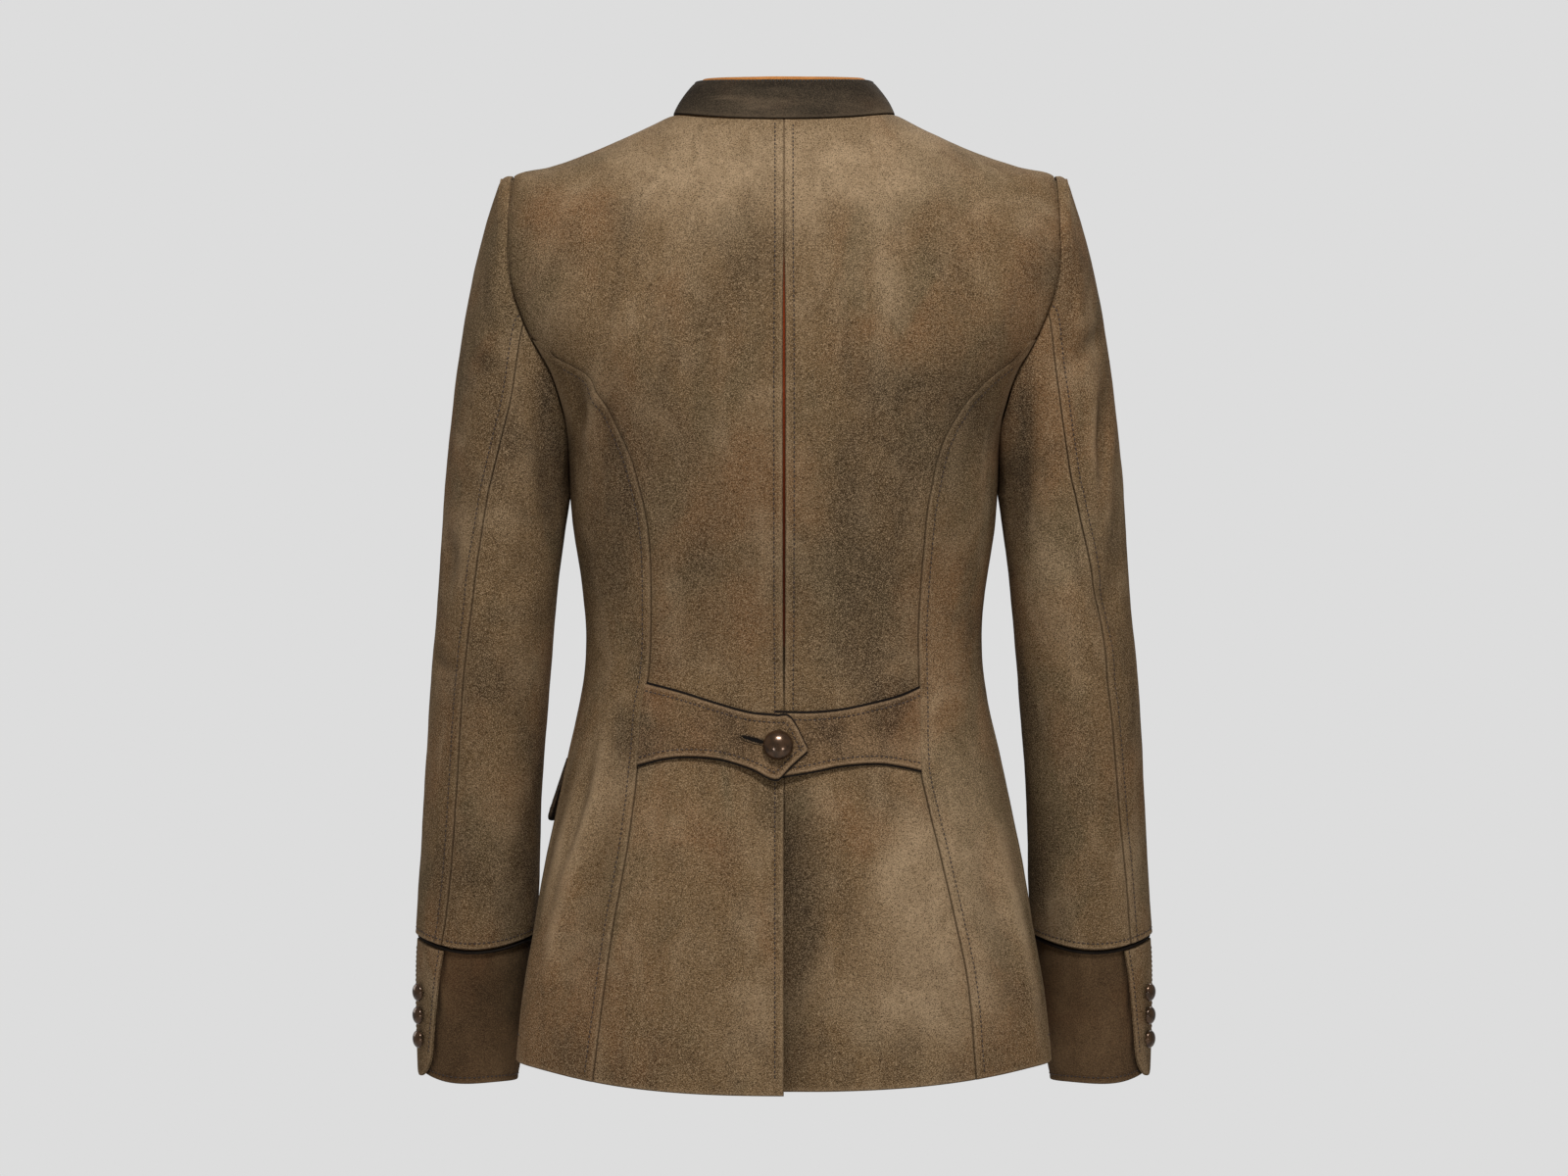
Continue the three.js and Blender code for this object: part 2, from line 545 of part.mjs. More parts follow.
// The armhole's point for a turn of the sleeve, by equal shares of the edge's length.
function armholePoint(turn) {
  const wrapped = Math.atan2(Math.sin(turn), Math.cos(turn));
  const behind = Math.cos(wrapped) >= 0;
  const edge = behind ? ARMHOLE_EDGES.back : ARMHOLE_EDGES.front;
  const fromTop = Math.acos(THREE.MathUtils.clamp(Math.sin(wrapped), -1, 1)) / Math.PI;
  const run = fromTop * edge[edge.length - 1].run;
  let i = 0;
  while (i < edge.length - 2 && edge[i + 1].run < run) i += 1;
  const share = (run - edge[i].run) / (edge[i + 1].run - edge[i].run);
  return edge[i].point.clone().lerp(edge[i + 1].point, share);
}

function tubePoint(table, turn, drop) {
  const at = (name) => column(table, "drop", name, drop);
  return new THREE.Vector3(
    mix(at("inner"), at("outer"), (1 + Math.sin(turn)) / 2),
    mix(at("front"), at("back"), (1 + Math.cos(turn)) / 2),
    -drop,
  );
}

// The padded roll at the top of the sleeve head.
const HEAD_ROLL = { out: new THREE.Vector3(2.4, 0, 0.8), place: 0.08, spread: 0.06 };

// A point of the sleeve. Places 0 to 1 are the cap, from the armhole to the first level section, and 1 to 2 the tube.
function sleevePoint(turn, place) {
  if (place >= 1) return tubePoint(SLEEVE, turn, mix(SLEEVE_TOP_DROP, SLEEVE_LAST_DROP, place - 1));
  const start = armholePoint(turn);
  const end = tubePoint(SLEEVE, turn, SLEEVE_TOP_DROP);
  const rise = Math.sin(turn);
  const level = Math.cos(turn) ** 2;
  const leaving = new THREE.Vector3(34 + 32 * rise, 0, -75 * level - (rise > 0 ? -4 : 20) * (1 - level));
  const arriving = new THREE.Vector3(6 + 5 * rise, 0, (end.z - start.z) * 0.92);
  const t = place;
  return start
    .multiplyScalar(2 * t ** 3 - 3 * t ** 2 + 1)
    .addScaledVector(leaving, t ** 3 - 2 * t ** 2 + t)
    .addScaledVector(end, 3 * t ** 2 - 2 * t ** 3)
    .addScaledVector(arriving, t ** 3 - t ** 2)
    .addScaledVector(HEAD_ROLL.out, Math.max(rise, 0) * bell(t - HEAD_ROLL.place, HEAD_ROLL.spread) * Math.min(t * 30, 1));
}
function onSleeve(turn, place) {
  const centre = sleevePoint(turn, place).add(sleevePoint(turn + Math.PI, place)).multiplyScalar(0.5);
  const point = sleevePoint(turn, place);
  const outward = point.clone().sub(centre);
  return { point, normal: normalOf(sleevePoint, turn, place, 0.01, 0.002, outward) };
}
const placeOfDrop = (drop) => 1 + (drop - SLEEVE_TOP_DROP) / (SLEEVE_LAST_DROP - SLEEVE_TOP_DROP);

// Turns of the back seam and of the hidden front seam, in degrees
const SLEEVE_BACK_SEAM = [
  { place: 0, left: -7, right: -2 },
  { place: 0.25, left: -8, right: -5 },
  { place: 0.5, left: -5, right: -3 },
  { place: 0.75, left: 4, right: 2 },
  { place: 1, left: 14, right: 9 },
  { place: 1.25, left: 21, right: 24 },
  { place: 1.45, left: 23.6, right: 28 },
  { place: 1.65, left: 23, right: 30 },
  { place: 1.8, left: 25.5, right: 35 },
  { place: 2, left: 32, right: 37 },
];
const FRONT_SEAM_TURN = -122;
const backSeamTurn = (name, place) => column(SLEEVE_BACK_SEAM, "place", name, place) * DEGREE;

const CAP_PLACES = [0.004, 0.06, 0.14, 0.25, 0.4, 0.58, 0.8];
const TUBE_PLACES = [1, 1.14, 1.3, 1.46, 1.62, 1.78, 1.92];

// Drop of a sleeve's or cuff's lower edge at a turn, lowest at the back.
function edgeDrop(edge, turn) {
  const level = mix(edge.inner, edge.outer, (1 + Math.sin(turn)) / 2);
  return mix(level, edge.back, Math.max(Math.cos(turn), 0) ** 2);
}

function sleevePiece(side, from, to, steps) {
  const rows = [...CAP_PLACES, ...TUBE_PLACES, "edge"];
  const placeAt = (turn, row) => onSleeve(turn, row === "edge" ? placeOfDrop(edgeDrop(SLEEVE_EDGE, turn)) : row);
  const bounds = (row) => [from(row === "edge" ? 2 : row), to(row === "edge" ? 2 : row)];
  const grid = gridBetween(rows, steps, bounds, placeAt);
  return wall(onSide(side, insetGrid(grid, { top: 0.5, first: SEAM_GAP / 2, last: SEAM_GAP / 2 })));
}

// The cuff is a tube inside the sleeve's end, slit under the tongue that buttons over it.
const CUFF_SLIT = { turn: 66, half: 3 };
function onCuff(turn, drop) {
  const surface = (a, b) => tubePoint(CUFF, a, b);
  const outward = new THREE.Vector3(Math.sin(turn), Math.cos(turn), 0);
  return { point: surface(turn, drop), normal: normalOf(surface, turn, drop, 0.01, 0.5, outward) };
}
function cuffPiece(side) {
  const rows = [CUFF_TOP_DROP, 600, 636, "edge"];
  const from = (CUFF_SLIT.turn + CUFF_SLIT.half) * DEGREE;
  const to = (CUFF_SLIT.turn - CUFF_SLIT.half + 360) * DEGREE;
  const placeAt = (turn, row) => onCuff(turn, row === "edge" ? edgeDrop(CUFF_EDGE, turn) : row);
  return wall(onSide(side, gridBetween(rows, 22, () => [from, to], placeAt)));
}

// A narrow dark piping below the sleeve's edge, lying on the cuff.
const PIPING = { below: 0.7, height: 2.4, thickness: 1.5 };
function cuffPiping(side) {
  const rows = [PIPING.below, PIPING.below + PIPING.height];
  const placeAt = (turn, below) => onCuff(turn, edgeDrop(SLEEVE_EDGE, turn) + below);
  const grid = gridBetween(rows, 22, () => [-270 * DEGREE, 89.6 * DEGREE], placeAt);
  return wall(onSide(side, grid), { lift: LAY_GAP + PIPING.thickness, thickness: PIPING.thickness });
}

// The tongue over the slit, with a round end and three buttons.
const TONGUE = { top: 570, bottom: 666.5, below: 3.8, topTurns: [31, 94], bottomTurns: [46, 94], round: 16, thickness: 1.8 };
const TONGUE_LIFT = LAY_GAP + TONGUE.thickness;
function tongueBounds(drop) {
  const along = (drop - TONGUE.top) / (TONGUE.bottom - TONGUE.top);
  const turns = [0, 1].map((k) => mix(TONGUE.topTurns[k], TONGUE.bottomTurns[k], along));
  const into = Math.max(0, drop - (TONGUE.bottom - TONGUE.round)) / TONGUE.round;
  const keep = Math.sqrt(Math.max(0, 1 - into ** 2));
  const middle = (turns[0] + turns[1]) / 2;
  return turns.map((turn) => mix(middle, turn, Math.max(keep, 0.06)) * DEGREE);
}
function cuffTongue(side) {
  const rows = [TONGUE.top, 605, 650.5, 656.5, 661.5, 664.9, TONGUE.bottom];
  const placeAt = (turn, row) => {
    return onCuff(turn, row === TONGUE.top ? edgeDrop(SLEEVE_EDGE, turn) + TONGUE.below : row);
  };
  return wall(onSide(side, gridBetween(rows, 4, tongueBounds, placeAt)), {
    lift: TONGUE_LIFT,
    thickness: TONGUE.thickness,
  });
}

// A domed button on a short shank, standing along +Y before it is turned.
const DOME = { belt: { radius: 10.3, height: 9.4 }, cuff: { radius: 6.2, height: 5.8 } };
const SHANK_HEIGHT = 1.2;
function buttonGeometry({ radius, height }, around, over) {
  const profile = [new THREE.Vector2(0, 0), new THREE.Vector2(radius * 0.3, 0)];
  profile.push(new THREE.Vector2(radius * 0.3, SHANK_HEIGHT), new THREE.Vector2(radius * 0.86, SHANK_HEIGHT + 0.5));
  for (let k = 0; k <= over; k += 1) {
    const rise = (k / over) * (Math.PI / 2);
    const y = SHANK_HEIGHT + 1.3 + (height - SHANK_HEIGHT - 1.3) * Math.sin(rise);
    profile.push(new THREE.Vector2(k === over ? 0 : radius * Math.cos(rise), y));
  }
  return new THREE.LatheGeometry(profile, around);
}
function addButton(name, size, place, lift) {
  const mesh = addPiece(name, buttonGeometry(size, size === DOME.belt ? 12 : 8, 3), "button");
  mesh.position.copy(place.point).addScaledVector(place.normal, lift + SEAM_GAP);
  mesh.quaternion.setFromUnitVectors(new THREE.Vector3(0, 1, 0), place.normal);
}

const CUFF_BUTTON = { turn: 60.5, drops: [607, 623.3, 640] };
for (const { name, side } of SIDES) {
  const backSeam = (place) => backSeamTurn(name, place);
  const upper = sleevePiece(side, backSeam, () => (FRONT_SEAM_TURN + 360) * DEGREE, 12);
  const under = sleevePiece(side, () => FRONT_SEAM_TURN * DEGREE, backSeam, 8);
  addPiece(`sleeve_upper_${name}`, upper, "suede");
  addPiece(`sleeve_under_${name}`, under, "suede");
  addPiece(`cuff_${name}`, cuffPiece(side), "suede");
  addPiece(`cuff_piping_${name}`, cuffPiping(side), "dark");
  addPiece(`cuff_tongue_${name}`, cuffTongue(side), "suede");
  CUFF_BUTTON.drops.forEach((drop, k) => {
    const [[place]] = onSide(side, [[onCuff(CUFF_BUTTON.turn * DEGREE, drop)]]);
    addButton(`cuff_button_${name}_${k + 1}`, DOME.cuff, place, TONGUE_LIFT);
  });
}

// Half belt across the back waist, in two parts sewn into the princess seams. The left part ends in a pointed tab
// that laps the right part and buttons to it. Each row gives the upper and lower edge at a distance across.
const BELT_LEFT = [
  { x: -15.8, top: 435.6, bottom: 437.2 },
  { x: -4.5, top: 415, bottom: 447.6 },
  { x: 5, top: 413.8, bottom: 456.4 },
  { x: 22, top: 411.8, bottom: 448.6 },
  { x: 43, top: 406, bottom: 442 },
  { x: 66, top: 398.6, bottom: 440.3 },
  { x: 81, top: 394.4, bottom: 441.8 },
  { x: 90.6, top: 392, bottom: 444.2 },
  { x: 98, top: 389.4, bottom: 446.3 },
];
const BELT_RIGHT = [
  { x: -92, top: 394, bottom: 450 },
  { x: -78.5, top: 400, bottom: 447 },
  { x: -63, top: 404.6, bottom: 445 },
  { x: -40, top: 409.6, bottom: 446.4 },
  { x: -18, top: 411.4, bottom: 450.6 },
  { x: 6, top: 411, bottom: 454.5 },
];
const BELT_THICKNESS = 2.2;
const BELT_SEAM_GAP = 0.6;
const BELT_STAND_OFF = { end: 0.7, middle: 2.4, half: 92 };

// How far the belt's inner face is from the back, where it spans the hollow of the waist.
function beltStandOff(x) {
  return mix(BELT_STAND_OFF.middle, BELT_STAND_OFF.end, Math.min(Math.abs(x) / BELT_STAND_OFF.half, 1) ** 2);
}
function beltPart(table, columns, extraLift) {
  const shares = [0, 0.25, 0.5, 0.75, 1];
  const grid = shares.map((share) =>
    columns.map((x) => {
      const drop = mix(column(table, "x", "top", x), column(table, "x", "bottom", x), share);
      const seam = princessX(Math.sign(x), drop) - BELT_SEAM_GAP;
      const across = Math.sign(x) * Math.min(Math.abs(x), seam);
      return { ...onBody(angleAtBack(across, drop), drop), lift: beltStandOff(x) + extraLift(x) };
    }),
  );
  return wall(grid, { lift: BELT_THICKNESS, thickness: BELT_THICKNESS });
}
const BELT_LEFT_COLUMNS = [-15.8, -10.5, -4.5, 0.5, 5, 13, 22, 32, 43, 54, 66, 81, 98];
const BELT_RIGHT_COLUMNS = [-92, -78.5, -63, -51, -40, -29, -18, -8, 6];
const tabLift = (x) => (BELT_THICKNESS + SEAM_GAP) * (1 - smooth(8, 34, x));
addPiece("belt_left", beltPart(BELT_LEFT, BELT_LEFT_COLUMNS, tabLift), "suede");
addPiece("belt_right", beltPart(BELT_RIGHT, BELT_RIGHT_COLUMNS, () => 0), "suede");

const BELT_BUTTON = { x: 4, drop: 434 };
addButton(
  "belt_button",
  DOME.belt,
  onBody(angleAtBack(BELT_BUTTON.x, BELT_BUTTON.drop), BELT_BUTTON.drop),
  beltStandOff(BELT_BUTTON.x) + tabLift(BELT_BUTTON.x) + BELT_THICKNESS,
);

// Front closing: buttons down the centre front.
const FRONT_BUTTON_DROPS = [92, 162, 232, 302, 372];
FRONT_BUTTON_DROPS.forEach((drop, k) => {
  addButton(`front_button_${k + 1}`, DOME.belt, onBody(Math.PI, drop), CLOSING.raise + 0.4);
});

// Pocket flaps in dark suede below a narrow welt, at the front of each hip. The left one stands out a little.
const FLAP = { top: 445, height: 44, fromLeft: 100, fromRight: 106, to: 142, corner: 6, thickness: 2.6 };
const WELT = { height: 7, thickness: 1.6, overhang: 1.5 };
function flapPiece(side) {
  const standOff = side > 0 ? 4.7 : 1.4;
  const from = side > 0 ? FLAP.fromLeft : FLAP.fromRight;
  const shares = [0, 0.5, 1];
  const steps = 10;
  const grid = shares.map((share) =>
    Array.from({ length: steps + 1 }, (_, j) => {
      const along = j / steps;
      const width = (FLAP.to - from) * 2.6;
      const fromEnd = Math.min(along, 1 - along) * width;
      const cut = FLAP.corner * (1 - Math.sqrt(1 - (1 - Math.min(fromEnd / FLAP.corner, 1)) ** 2));
      const drop = FLAP.top + (FLAP.height - cut) * share;
      const angle = mix(from, FLAP.to, along) * DEGREE;
      return { ...onBody(angle, drop), lift: SEAM_GAP + standOff * share };
    }),
  );
  return wall(onSide(side, grid), { lift: FLAP.thickness, thickness: FLAP.thickness });
}
function weltPiece(side) {
  const rows = [FLAP.top - SEAM_GAP - WELT.height, FLAP.top - SEAM_GAP];
  const from = side > 0 ? FLAP.fromLeft : FLAP.fromRight;
  const bounds = () => [(from - WELT.overhang) * DEGREE, (FLAP.to + WELT.overhang) * DEGREE];
  const grid = gridBetween(rows, 8, bounds, onBody);
  return wall(onSide(side, grid), { lift: SEAM_GAP + WELT.thickness, thickness: WELT.thickness });
}
for (const { name, side } of SIDES) {
  addPiece(`pocket_flap_${name}`, flapPiece(side), "dark");
  addPiece(`pocket_welt_${name}`, weltPiece(side), "suede");
}

export default jacket;
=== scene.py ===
"""A woman's fitted suede jacket seen from behind, filled out as if worn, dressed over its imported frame."""
import math

import bmesh
import bpy
import numpy as np
from mathutils import Matrix, Vector, kdtree


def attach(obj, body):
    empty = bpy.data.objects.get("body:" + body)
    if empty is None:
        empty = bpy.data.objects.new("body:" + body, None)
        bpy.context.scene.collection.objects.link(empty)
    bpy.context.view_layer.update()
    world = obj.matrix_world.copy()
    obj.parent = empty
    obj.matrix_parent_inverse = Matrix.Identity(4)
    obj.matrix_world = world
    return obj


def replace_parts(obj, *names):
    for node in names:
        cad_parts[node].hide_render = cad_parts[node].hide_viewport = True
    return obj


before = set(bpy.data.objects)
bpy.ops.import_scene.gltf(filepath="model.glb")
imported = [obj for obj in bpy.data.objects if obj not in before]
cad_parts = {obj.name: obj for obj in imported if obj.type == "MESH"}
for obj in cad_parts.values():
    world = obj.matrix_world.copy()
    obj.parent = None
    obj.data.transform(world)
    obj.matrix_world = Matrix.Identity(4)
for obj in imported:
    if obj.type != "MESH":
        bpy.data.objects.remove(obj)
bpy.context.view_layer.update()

# Sizes are in millimetres, as in the part's source, and become metres when a mesh is made. The body is a
# surface of rings read from a table. Angles are 0 at the centre back and 90 degrees at the wearer's left.
METRE = 0.001
HIDE = 2.0
SEAM_GAP = 0.3
LAY_GAP = 0.6
DEGREE = math.pi / 180
NECK_DROP = 5.5
SHOULDER_DROP = 105
PRINCESS_DROP = 168
SIDE_PANEL_DROP = 170
UNDERARM_DROP = 230
HEM_DROP = {"back_left": 665.5, "back_right": 662.8, "side": 648, "front": 644}
HEM_FROM = 572


def table(names, rows):
    """A table with named columns, each of them an array."""
    return dict(zip(names.split(), np.array(rows, float).T))


SECTIONS = table(
    "drop half_back half_front back front middle side_drop front_drop",
    [
        (5.5, 77, 77, 58, 60, 0, -1.5, 62),
        (26, 101, 101, 70, 71, 0, 10.5, 79),
        (50, 131, 131, 84, 84, 0, 24, 97),
        (78, 161, 161, 95, 96, 0, 34.5, 115),
        (105, 187, 187, 102, 105, 0, 40.8, 132),
        (110, 193, 190, 103, 106, 0, 50, 135.5),
        (117, 200, 192, 104, 108, 0, 62, 141),
        (125, 206, 190.5, 105, 110, 0, 76, 147),
        (145, 205, 180.5, 107, 114, 0, 112, 162),
        (165, 193, 170, 108, 117, 0, 146, 177),
        (190, 171, 158.5, 108, 120, 0, 180, 195),
        (210, 155.5, 151.5, 107, 121, 0, 208, 211.5),
        (230, 149, 149, 105, 121, 1, 230, 230),
        (280, 145.8, 145.8, 98, 114, 5, 280, 280),
        (330, 139, 139, 90, 101, 4, 330, 330),
        (365, 137, 137, 87, 95, 2, 365, 365),
        (400, 140.5, 140.5, 90, 97, 3, 400, 400),
        (440, 149, 149, 98, 103, 8, 440, 440),
        (480, 157.5, 157.5, 108, 110, 14, 480, 480),
        (520, 165.5, 165.5, 117, 116, 22, 520, 520),
        (560, 171.5, 171.5, 124, 121, 29, 560, 560),
        (600, 176.5, 176.5, 129, 125, 34, 600, 600),
        (640, 179.5, 179.5, 133, 127, 38, 640, 640),
        (680, 181, 181, 136, 129, 40, 680, 680),
    ],
)
BACK_POWER = 0.8
FRONT_POWER = {"top": 0.8, "hip": 1.0, "from": 300, "to": 480}
BULGES = [  # out, angle, drop and their spreads: shoulder blade, bust, lapped seat
    (4, 36, 150, 20, 45),
    (13, 140, 222, 22, 42),
    (3, 30, 520, 18, 60),
]
FLARE_FOLD = table(
    "drop x out",
    [(430, 115, 0), (460, 125, 2), (500, 140, 3.5), (550, 156, 4.5), (600, 170, 5), (680, 178, 5)],
)
FLARE_FOLD_SPREAD = 9
ARMHOLE = table(
    "drop back front",
    [
        (105, 187, 187), (110, 187.3, 186), (117, 187.6, 184), (125, 188, 180.5), (145, 185, 170.5),
        (165, 174, 160.5), (190, 158, 151), (210, 150.5, 148), (222, 149.1, 148.6), (230, 149, 149),
    ],
)
PRINCESS = table(
    "drop left right",
    [
        (168, 172.3, 172.3), (171, 167, 168.8), (175.5, 161.3, 163.9), (182.5, 143.2, 151.8),
        (186, 134.6, 145), (191, 128.9, 137), (197.5, 125.3, 128.8), (206, 119.8, 120.2),
        (221, 111.5, 110.5), (238, 104.2, 104.4), (255, 99.2, 100.9), (275, 94.5, 97.3), (298, 91.6, 95.4),
        (352, 90.8, 91.8), (386, 92.4, 91.8), (404, 95.7, 91.8), (448, 98.4, 91.8), (472, 100.6, 96),
        (505, 104.9, 103.6), (548, 113, 113.5), (592, 120.2, 123.2), (656, 129.8, 130), (680, 133, 133),
    ],
)
SIDE_SEAM = table("drop angle", [(230, 90), (300, 88), (400, 84), (520, 79), (680, 78)])


def column(rows, name, place):
    """Reads one column of a table at places along its first one, on a smooth curve through the rows."""
    x, y = next(iter(rows.values())), rows[name]
    slope = np.empty_like(y)
    slope[1:-1] = (y[2:] - y[:-2]) / (x[2:] - x[:-2])
    slope[0] = (y[1] - y[0]) / (x[1] - x[0])
    slope[-1] = (y[-1] - y[-2]) / (x[-1] - x[-2])
    place = np.clip(np.asarray(place, float), x[0], x[-1])
    i = np.clip(np.searchsorted(x, place, side="right") - 1, 0, len(x) - 2)
    step = x[i + 1] - x[i]
    t = (place - x[i]) / step
    rise = y[i + 1] - y[i]
    return y[i] + rise * t * t * (3 - 2 * t) + step * t * (1 - t) * (slope[i] * (1 - t) - slope[i + 1] * t)


def mix(a, b, t):
    return a + (b - a) * t


def smooth(start, end, value):
    t = np.clip((np.asarray(value, float) - start) / (end - start), 0, 1)
    return t * t * (3 - 2 * t)


def bell(offset, spread):
    return np.exp(-((offset / spread) ** 2) / 2)


def signed_power(value, power):
    return np.sign(value) * np.abs(value) ** power


def stacked(x, y, z):
    return np.stack(np.broadcast_arrays(x, y, z), axis=-1).astype(float)


def unit(vectors):
    return vectors / np.maximum(np.linalg.norm(vectors, axis=-1, keepdims=True), 1e-9)


# The body's surface, as in the part's source


def front_power(drop):
    return mix(FRONT_POWER["top"], FRONT_POWER["hip"], smooth(FRONT_POWER["from"], FRONT_POWER["to"], drop))


def angle_at_back(x, drop):
    share = np.minimum(np.abs(x) / column(SECTIONS, "half_back", drop), 1)
    return np.sign(x) * np.arcsin(share ** (1 / BACK_POWER))


def angle_at_front(x, drop):
    share = np.minimum(np.abs(x) / column(SECTIONS, "half_front", drop), 1)
    return math.pi - np.sign(x) * np.arcsin(share ** (1 / front_power(drop)))


def body_relief(angle, drop):
    turn = np.arccos(np.clip(np.cos(angle), -1, 1)) / DEGREE
    soft = 0
    for out, at_angle, at_drop, angle_spread, drop_spread in BULGES:
        soft = soft + out * bell(turn - at_angle, angle_spread) * bell(drop - at_drop, drop_spread)
    ridge = angle_at_back(column(FLARE_FOLD, "x", drop), drop) / DEGREE
    out = column(FLARE_FOLD, "out", drop) * (drop >= FLARE_FOLD["drop"][0])
    return soft + out * bell(turn - ridge, FLARE_FOLD_SPREAD)


def figure_point(angle, drop):
    def at(name):
        return column(SECTIONS, name, drop)

    behind = np.cos(angle) >= 0
    half = np.where(behind, at("half_back"), at("half_front"))
    reach = np.where(behind, at("back") - at("middle"), at("front") + at("middle"))
    centre_drop = np.where(behind, drop, at("front_drop"))
    power = np.where(behind, BACK_POWER, front_power(drop))
    out = body_relief(angle, drop)
    return stacked(
        half * signed_power(np.sin(angle), power) + out * np.sin(angle),
        at("middle") + reach * signed_power(np.cos(angle), power) + out * np.cos(angle),
        -mix(at("side_drop"), centre_drop, np.cos(angle) ** 2),
    )


SHOULDER_ROUND = {"drop": 112, "spread": 26, "reach": 26, "shares": [1, 2, 3, 2, 1]}


def body_point(angle, drop):
    angle, drop = np.broadcast_arrays(np.asarray(angle, float), np.asarray(drop, float))
    near = bell(drop - SHOULDER_ROUND["drop"], SHOULDER_ROUND["spread"])
    reach = SHOULDER_ROUND["reach"] * near * np.sqrt(1 - np.minimum(np.abs(np.sin(angle)), 1))
    reach = np.where(reach < 0.1, 0, reach)
    shares = SHOULDER_ROUND["shares"]
    whole = sum(shares)
    return sum(
        figure_point(angle, drop + reach * (k / 2 - 1)) * (share / whole) for k, share in enumerate(shares)
    )


def normal_of(surface, a, b, step_a, step_b, towards):
    """The outward direction of a surface at two parameters, from its slopes there."""
    along_a = surface(a + step_a, b) - surface(a - step_a, b)
    along_b = surface(a, b + step_b) - surface(a, b - step_b)
    normal = unit(np.cross(along_a, along_b))
    turned = np.sum(normal * towards, axis=-1, keepdims=True) < 0
    return np.where(turned, -normal, normal)


def on_body(angle, drop):
    towards = stacked(np.sin(angle), np.cos(angle), 0.3)
    return body_point(angle, drop), normal_of(body_point, angle, drop, 0.004, 0.4, towards)


def on_back(x, drop):
    return on_body(angle_at_back(x, drop), drop)


def on_front(x, drop):
    return on_body(angle_at_front(x, drop), drop)


def hem_drop(side, angle):
    behind = HEM_DROP["back_left"] if side > 0 else HEM_DROP["back_right"]
    lowest = np.where(np.cos(angle) >= 0, behind, HEM_DROP["front"])
    return mix(HEM_DROP["side"], lowest, np.cos(angle) ** 2)


def princess_x(side, drop):
    return column(PRINCESS, "left" if side > 0 else "right", drop)


def princess_angle(side, drop):
    return angle_at_back(princess_x(side, drop), drop)


def side_seam_angle(drop):
    return column(SIDE_SEAM, "angle", drop) * DEGREE


def armhole_back_angle(drop):
    return angle_at_back(column(ARMHOLE, "back", drop), drop)


def armhole_front_angle(drop):
    return angle_at_front(column(ARMHOLE, "front", drop), drop)


# Folds, placed on the photograph's forms


def crease(out, spread, *path, face=1):
    """A fold along a path of distances across and drops. It stands out, or in where negative, and
    its face is 1 on the back and -1 on the front."""
    return {"out": out, "spread": spread, "path": path, "face": face}


FOLDS = [
    # skirt: the flare's ridge on each side with the trough inside it
    crease(3.8, 3.4, (120, 414), (126, 453), (134, 481), (143, 511), (155, 556), (164, 606)),
    crease(-2.8, 8, (112, 440), (119, 480), (128, 520), (141, 566), (150, 612)),
    crease(-2.6, 3.4, (131, 448), (140, 482), (149, 514)),
    crease(3.0, 3, (138, 446), (147, 484), (156, 522), (166, 560)),
    crease(3.0, 4, (-140, 470), (-150, 515), (-160, 560), (-169, 602), (-172, 640)),
    crease(-3.0, 7.5, (-130, 480), (-140, 530), (-150, 572), (-158, 612)),
    # soft drags below the underarms and from the blades towards the waist
    crease(-3.2, 3.6, (142, 182), (140, 200), (139, 220)),
    crease(2.4, 3.2, (127, 184), (131, 206), (136, 234)),
    crease(-1.6, 4.2, (121, 196), (123, 224), (127, 252)),
    crease(-1.3, 4.5, (-132, 196), (-131, 226), (-126, 256)),
    crease(-1.2, 9, (118, 262), (112, 300), (108, 336)),
    crease(-1.3, 9, (-122, 268), (-114, 310), (-108, 350)),
    # long soft shade left of the slit, where its edge dips
    crease(-0.7, 4.5, (10, 120), (11, 240), (10, 370)),
    # hollows above the belt's ends and below its middle
    crease(-1.0, 9, (30, 372), (58, 366), (84, 356)),
    crease(-1.1, 9, (-30, 374), (-58, 368), (-82, 352)),
    crease(-1.2, 10, (46, 466), (20, 474), (-6, 472)),
    # front: drags from the bust to the closing and folds over the hips
    crease(-2.4, 7, (60, 250), (38, 262), (22, 282), face=-1),
    crease(-2.2, 7, (-62, 246), (-40, 262), (-26, 288), face=-1),
    crease(-2.6, 9, (84, 296), (72, 338), (66, 384), face=-1),
    crease(-2.8, 9, (-86, 300), (-74, 344), (-70, 388), face=-1),
    crease(2.8, 8, (118, 500), (128, 560), (132, 620), face=-1),
    crease(2.6, 8, (-116, 506), (-128, 566), (-134, 626), face=-1),
    crease(-2.8, 5, (136, 176), (130, 204), (124, 236), face=-1),
    crease(-2.6, 5, (-136, 180), (-130, 208), (-126, 240), face=-1),
]


def near_path(across, drop, path):
    """Distance from a path in the plane of view, and the share of its length run at the nearest place."""
    points = np.array(path, float)
    lengths = np.hypot(*np.diff(points, axis=0).T)
    whole = lengths.sum()
    best = np.full(across.shape, 1e9)
    share = np.zeros(across.shape)
    run = 0
    for start, end, length in zip(points[:-1], points[1:], lengths):
        along = (end - start) / length
        t = np.clip((across - start[0]) * along[0] + (drop - start[1]) * along[1], 0, length)
        distance = np.hypot(across - start[0] - along[0] * t, drop - start[1] - along[1] * t)
        nearer = distance < best
        best = np.where(nearer, distance, best)
        share = np.where(nearer, (run + t) / whole, share)
        run += length
    return best, share


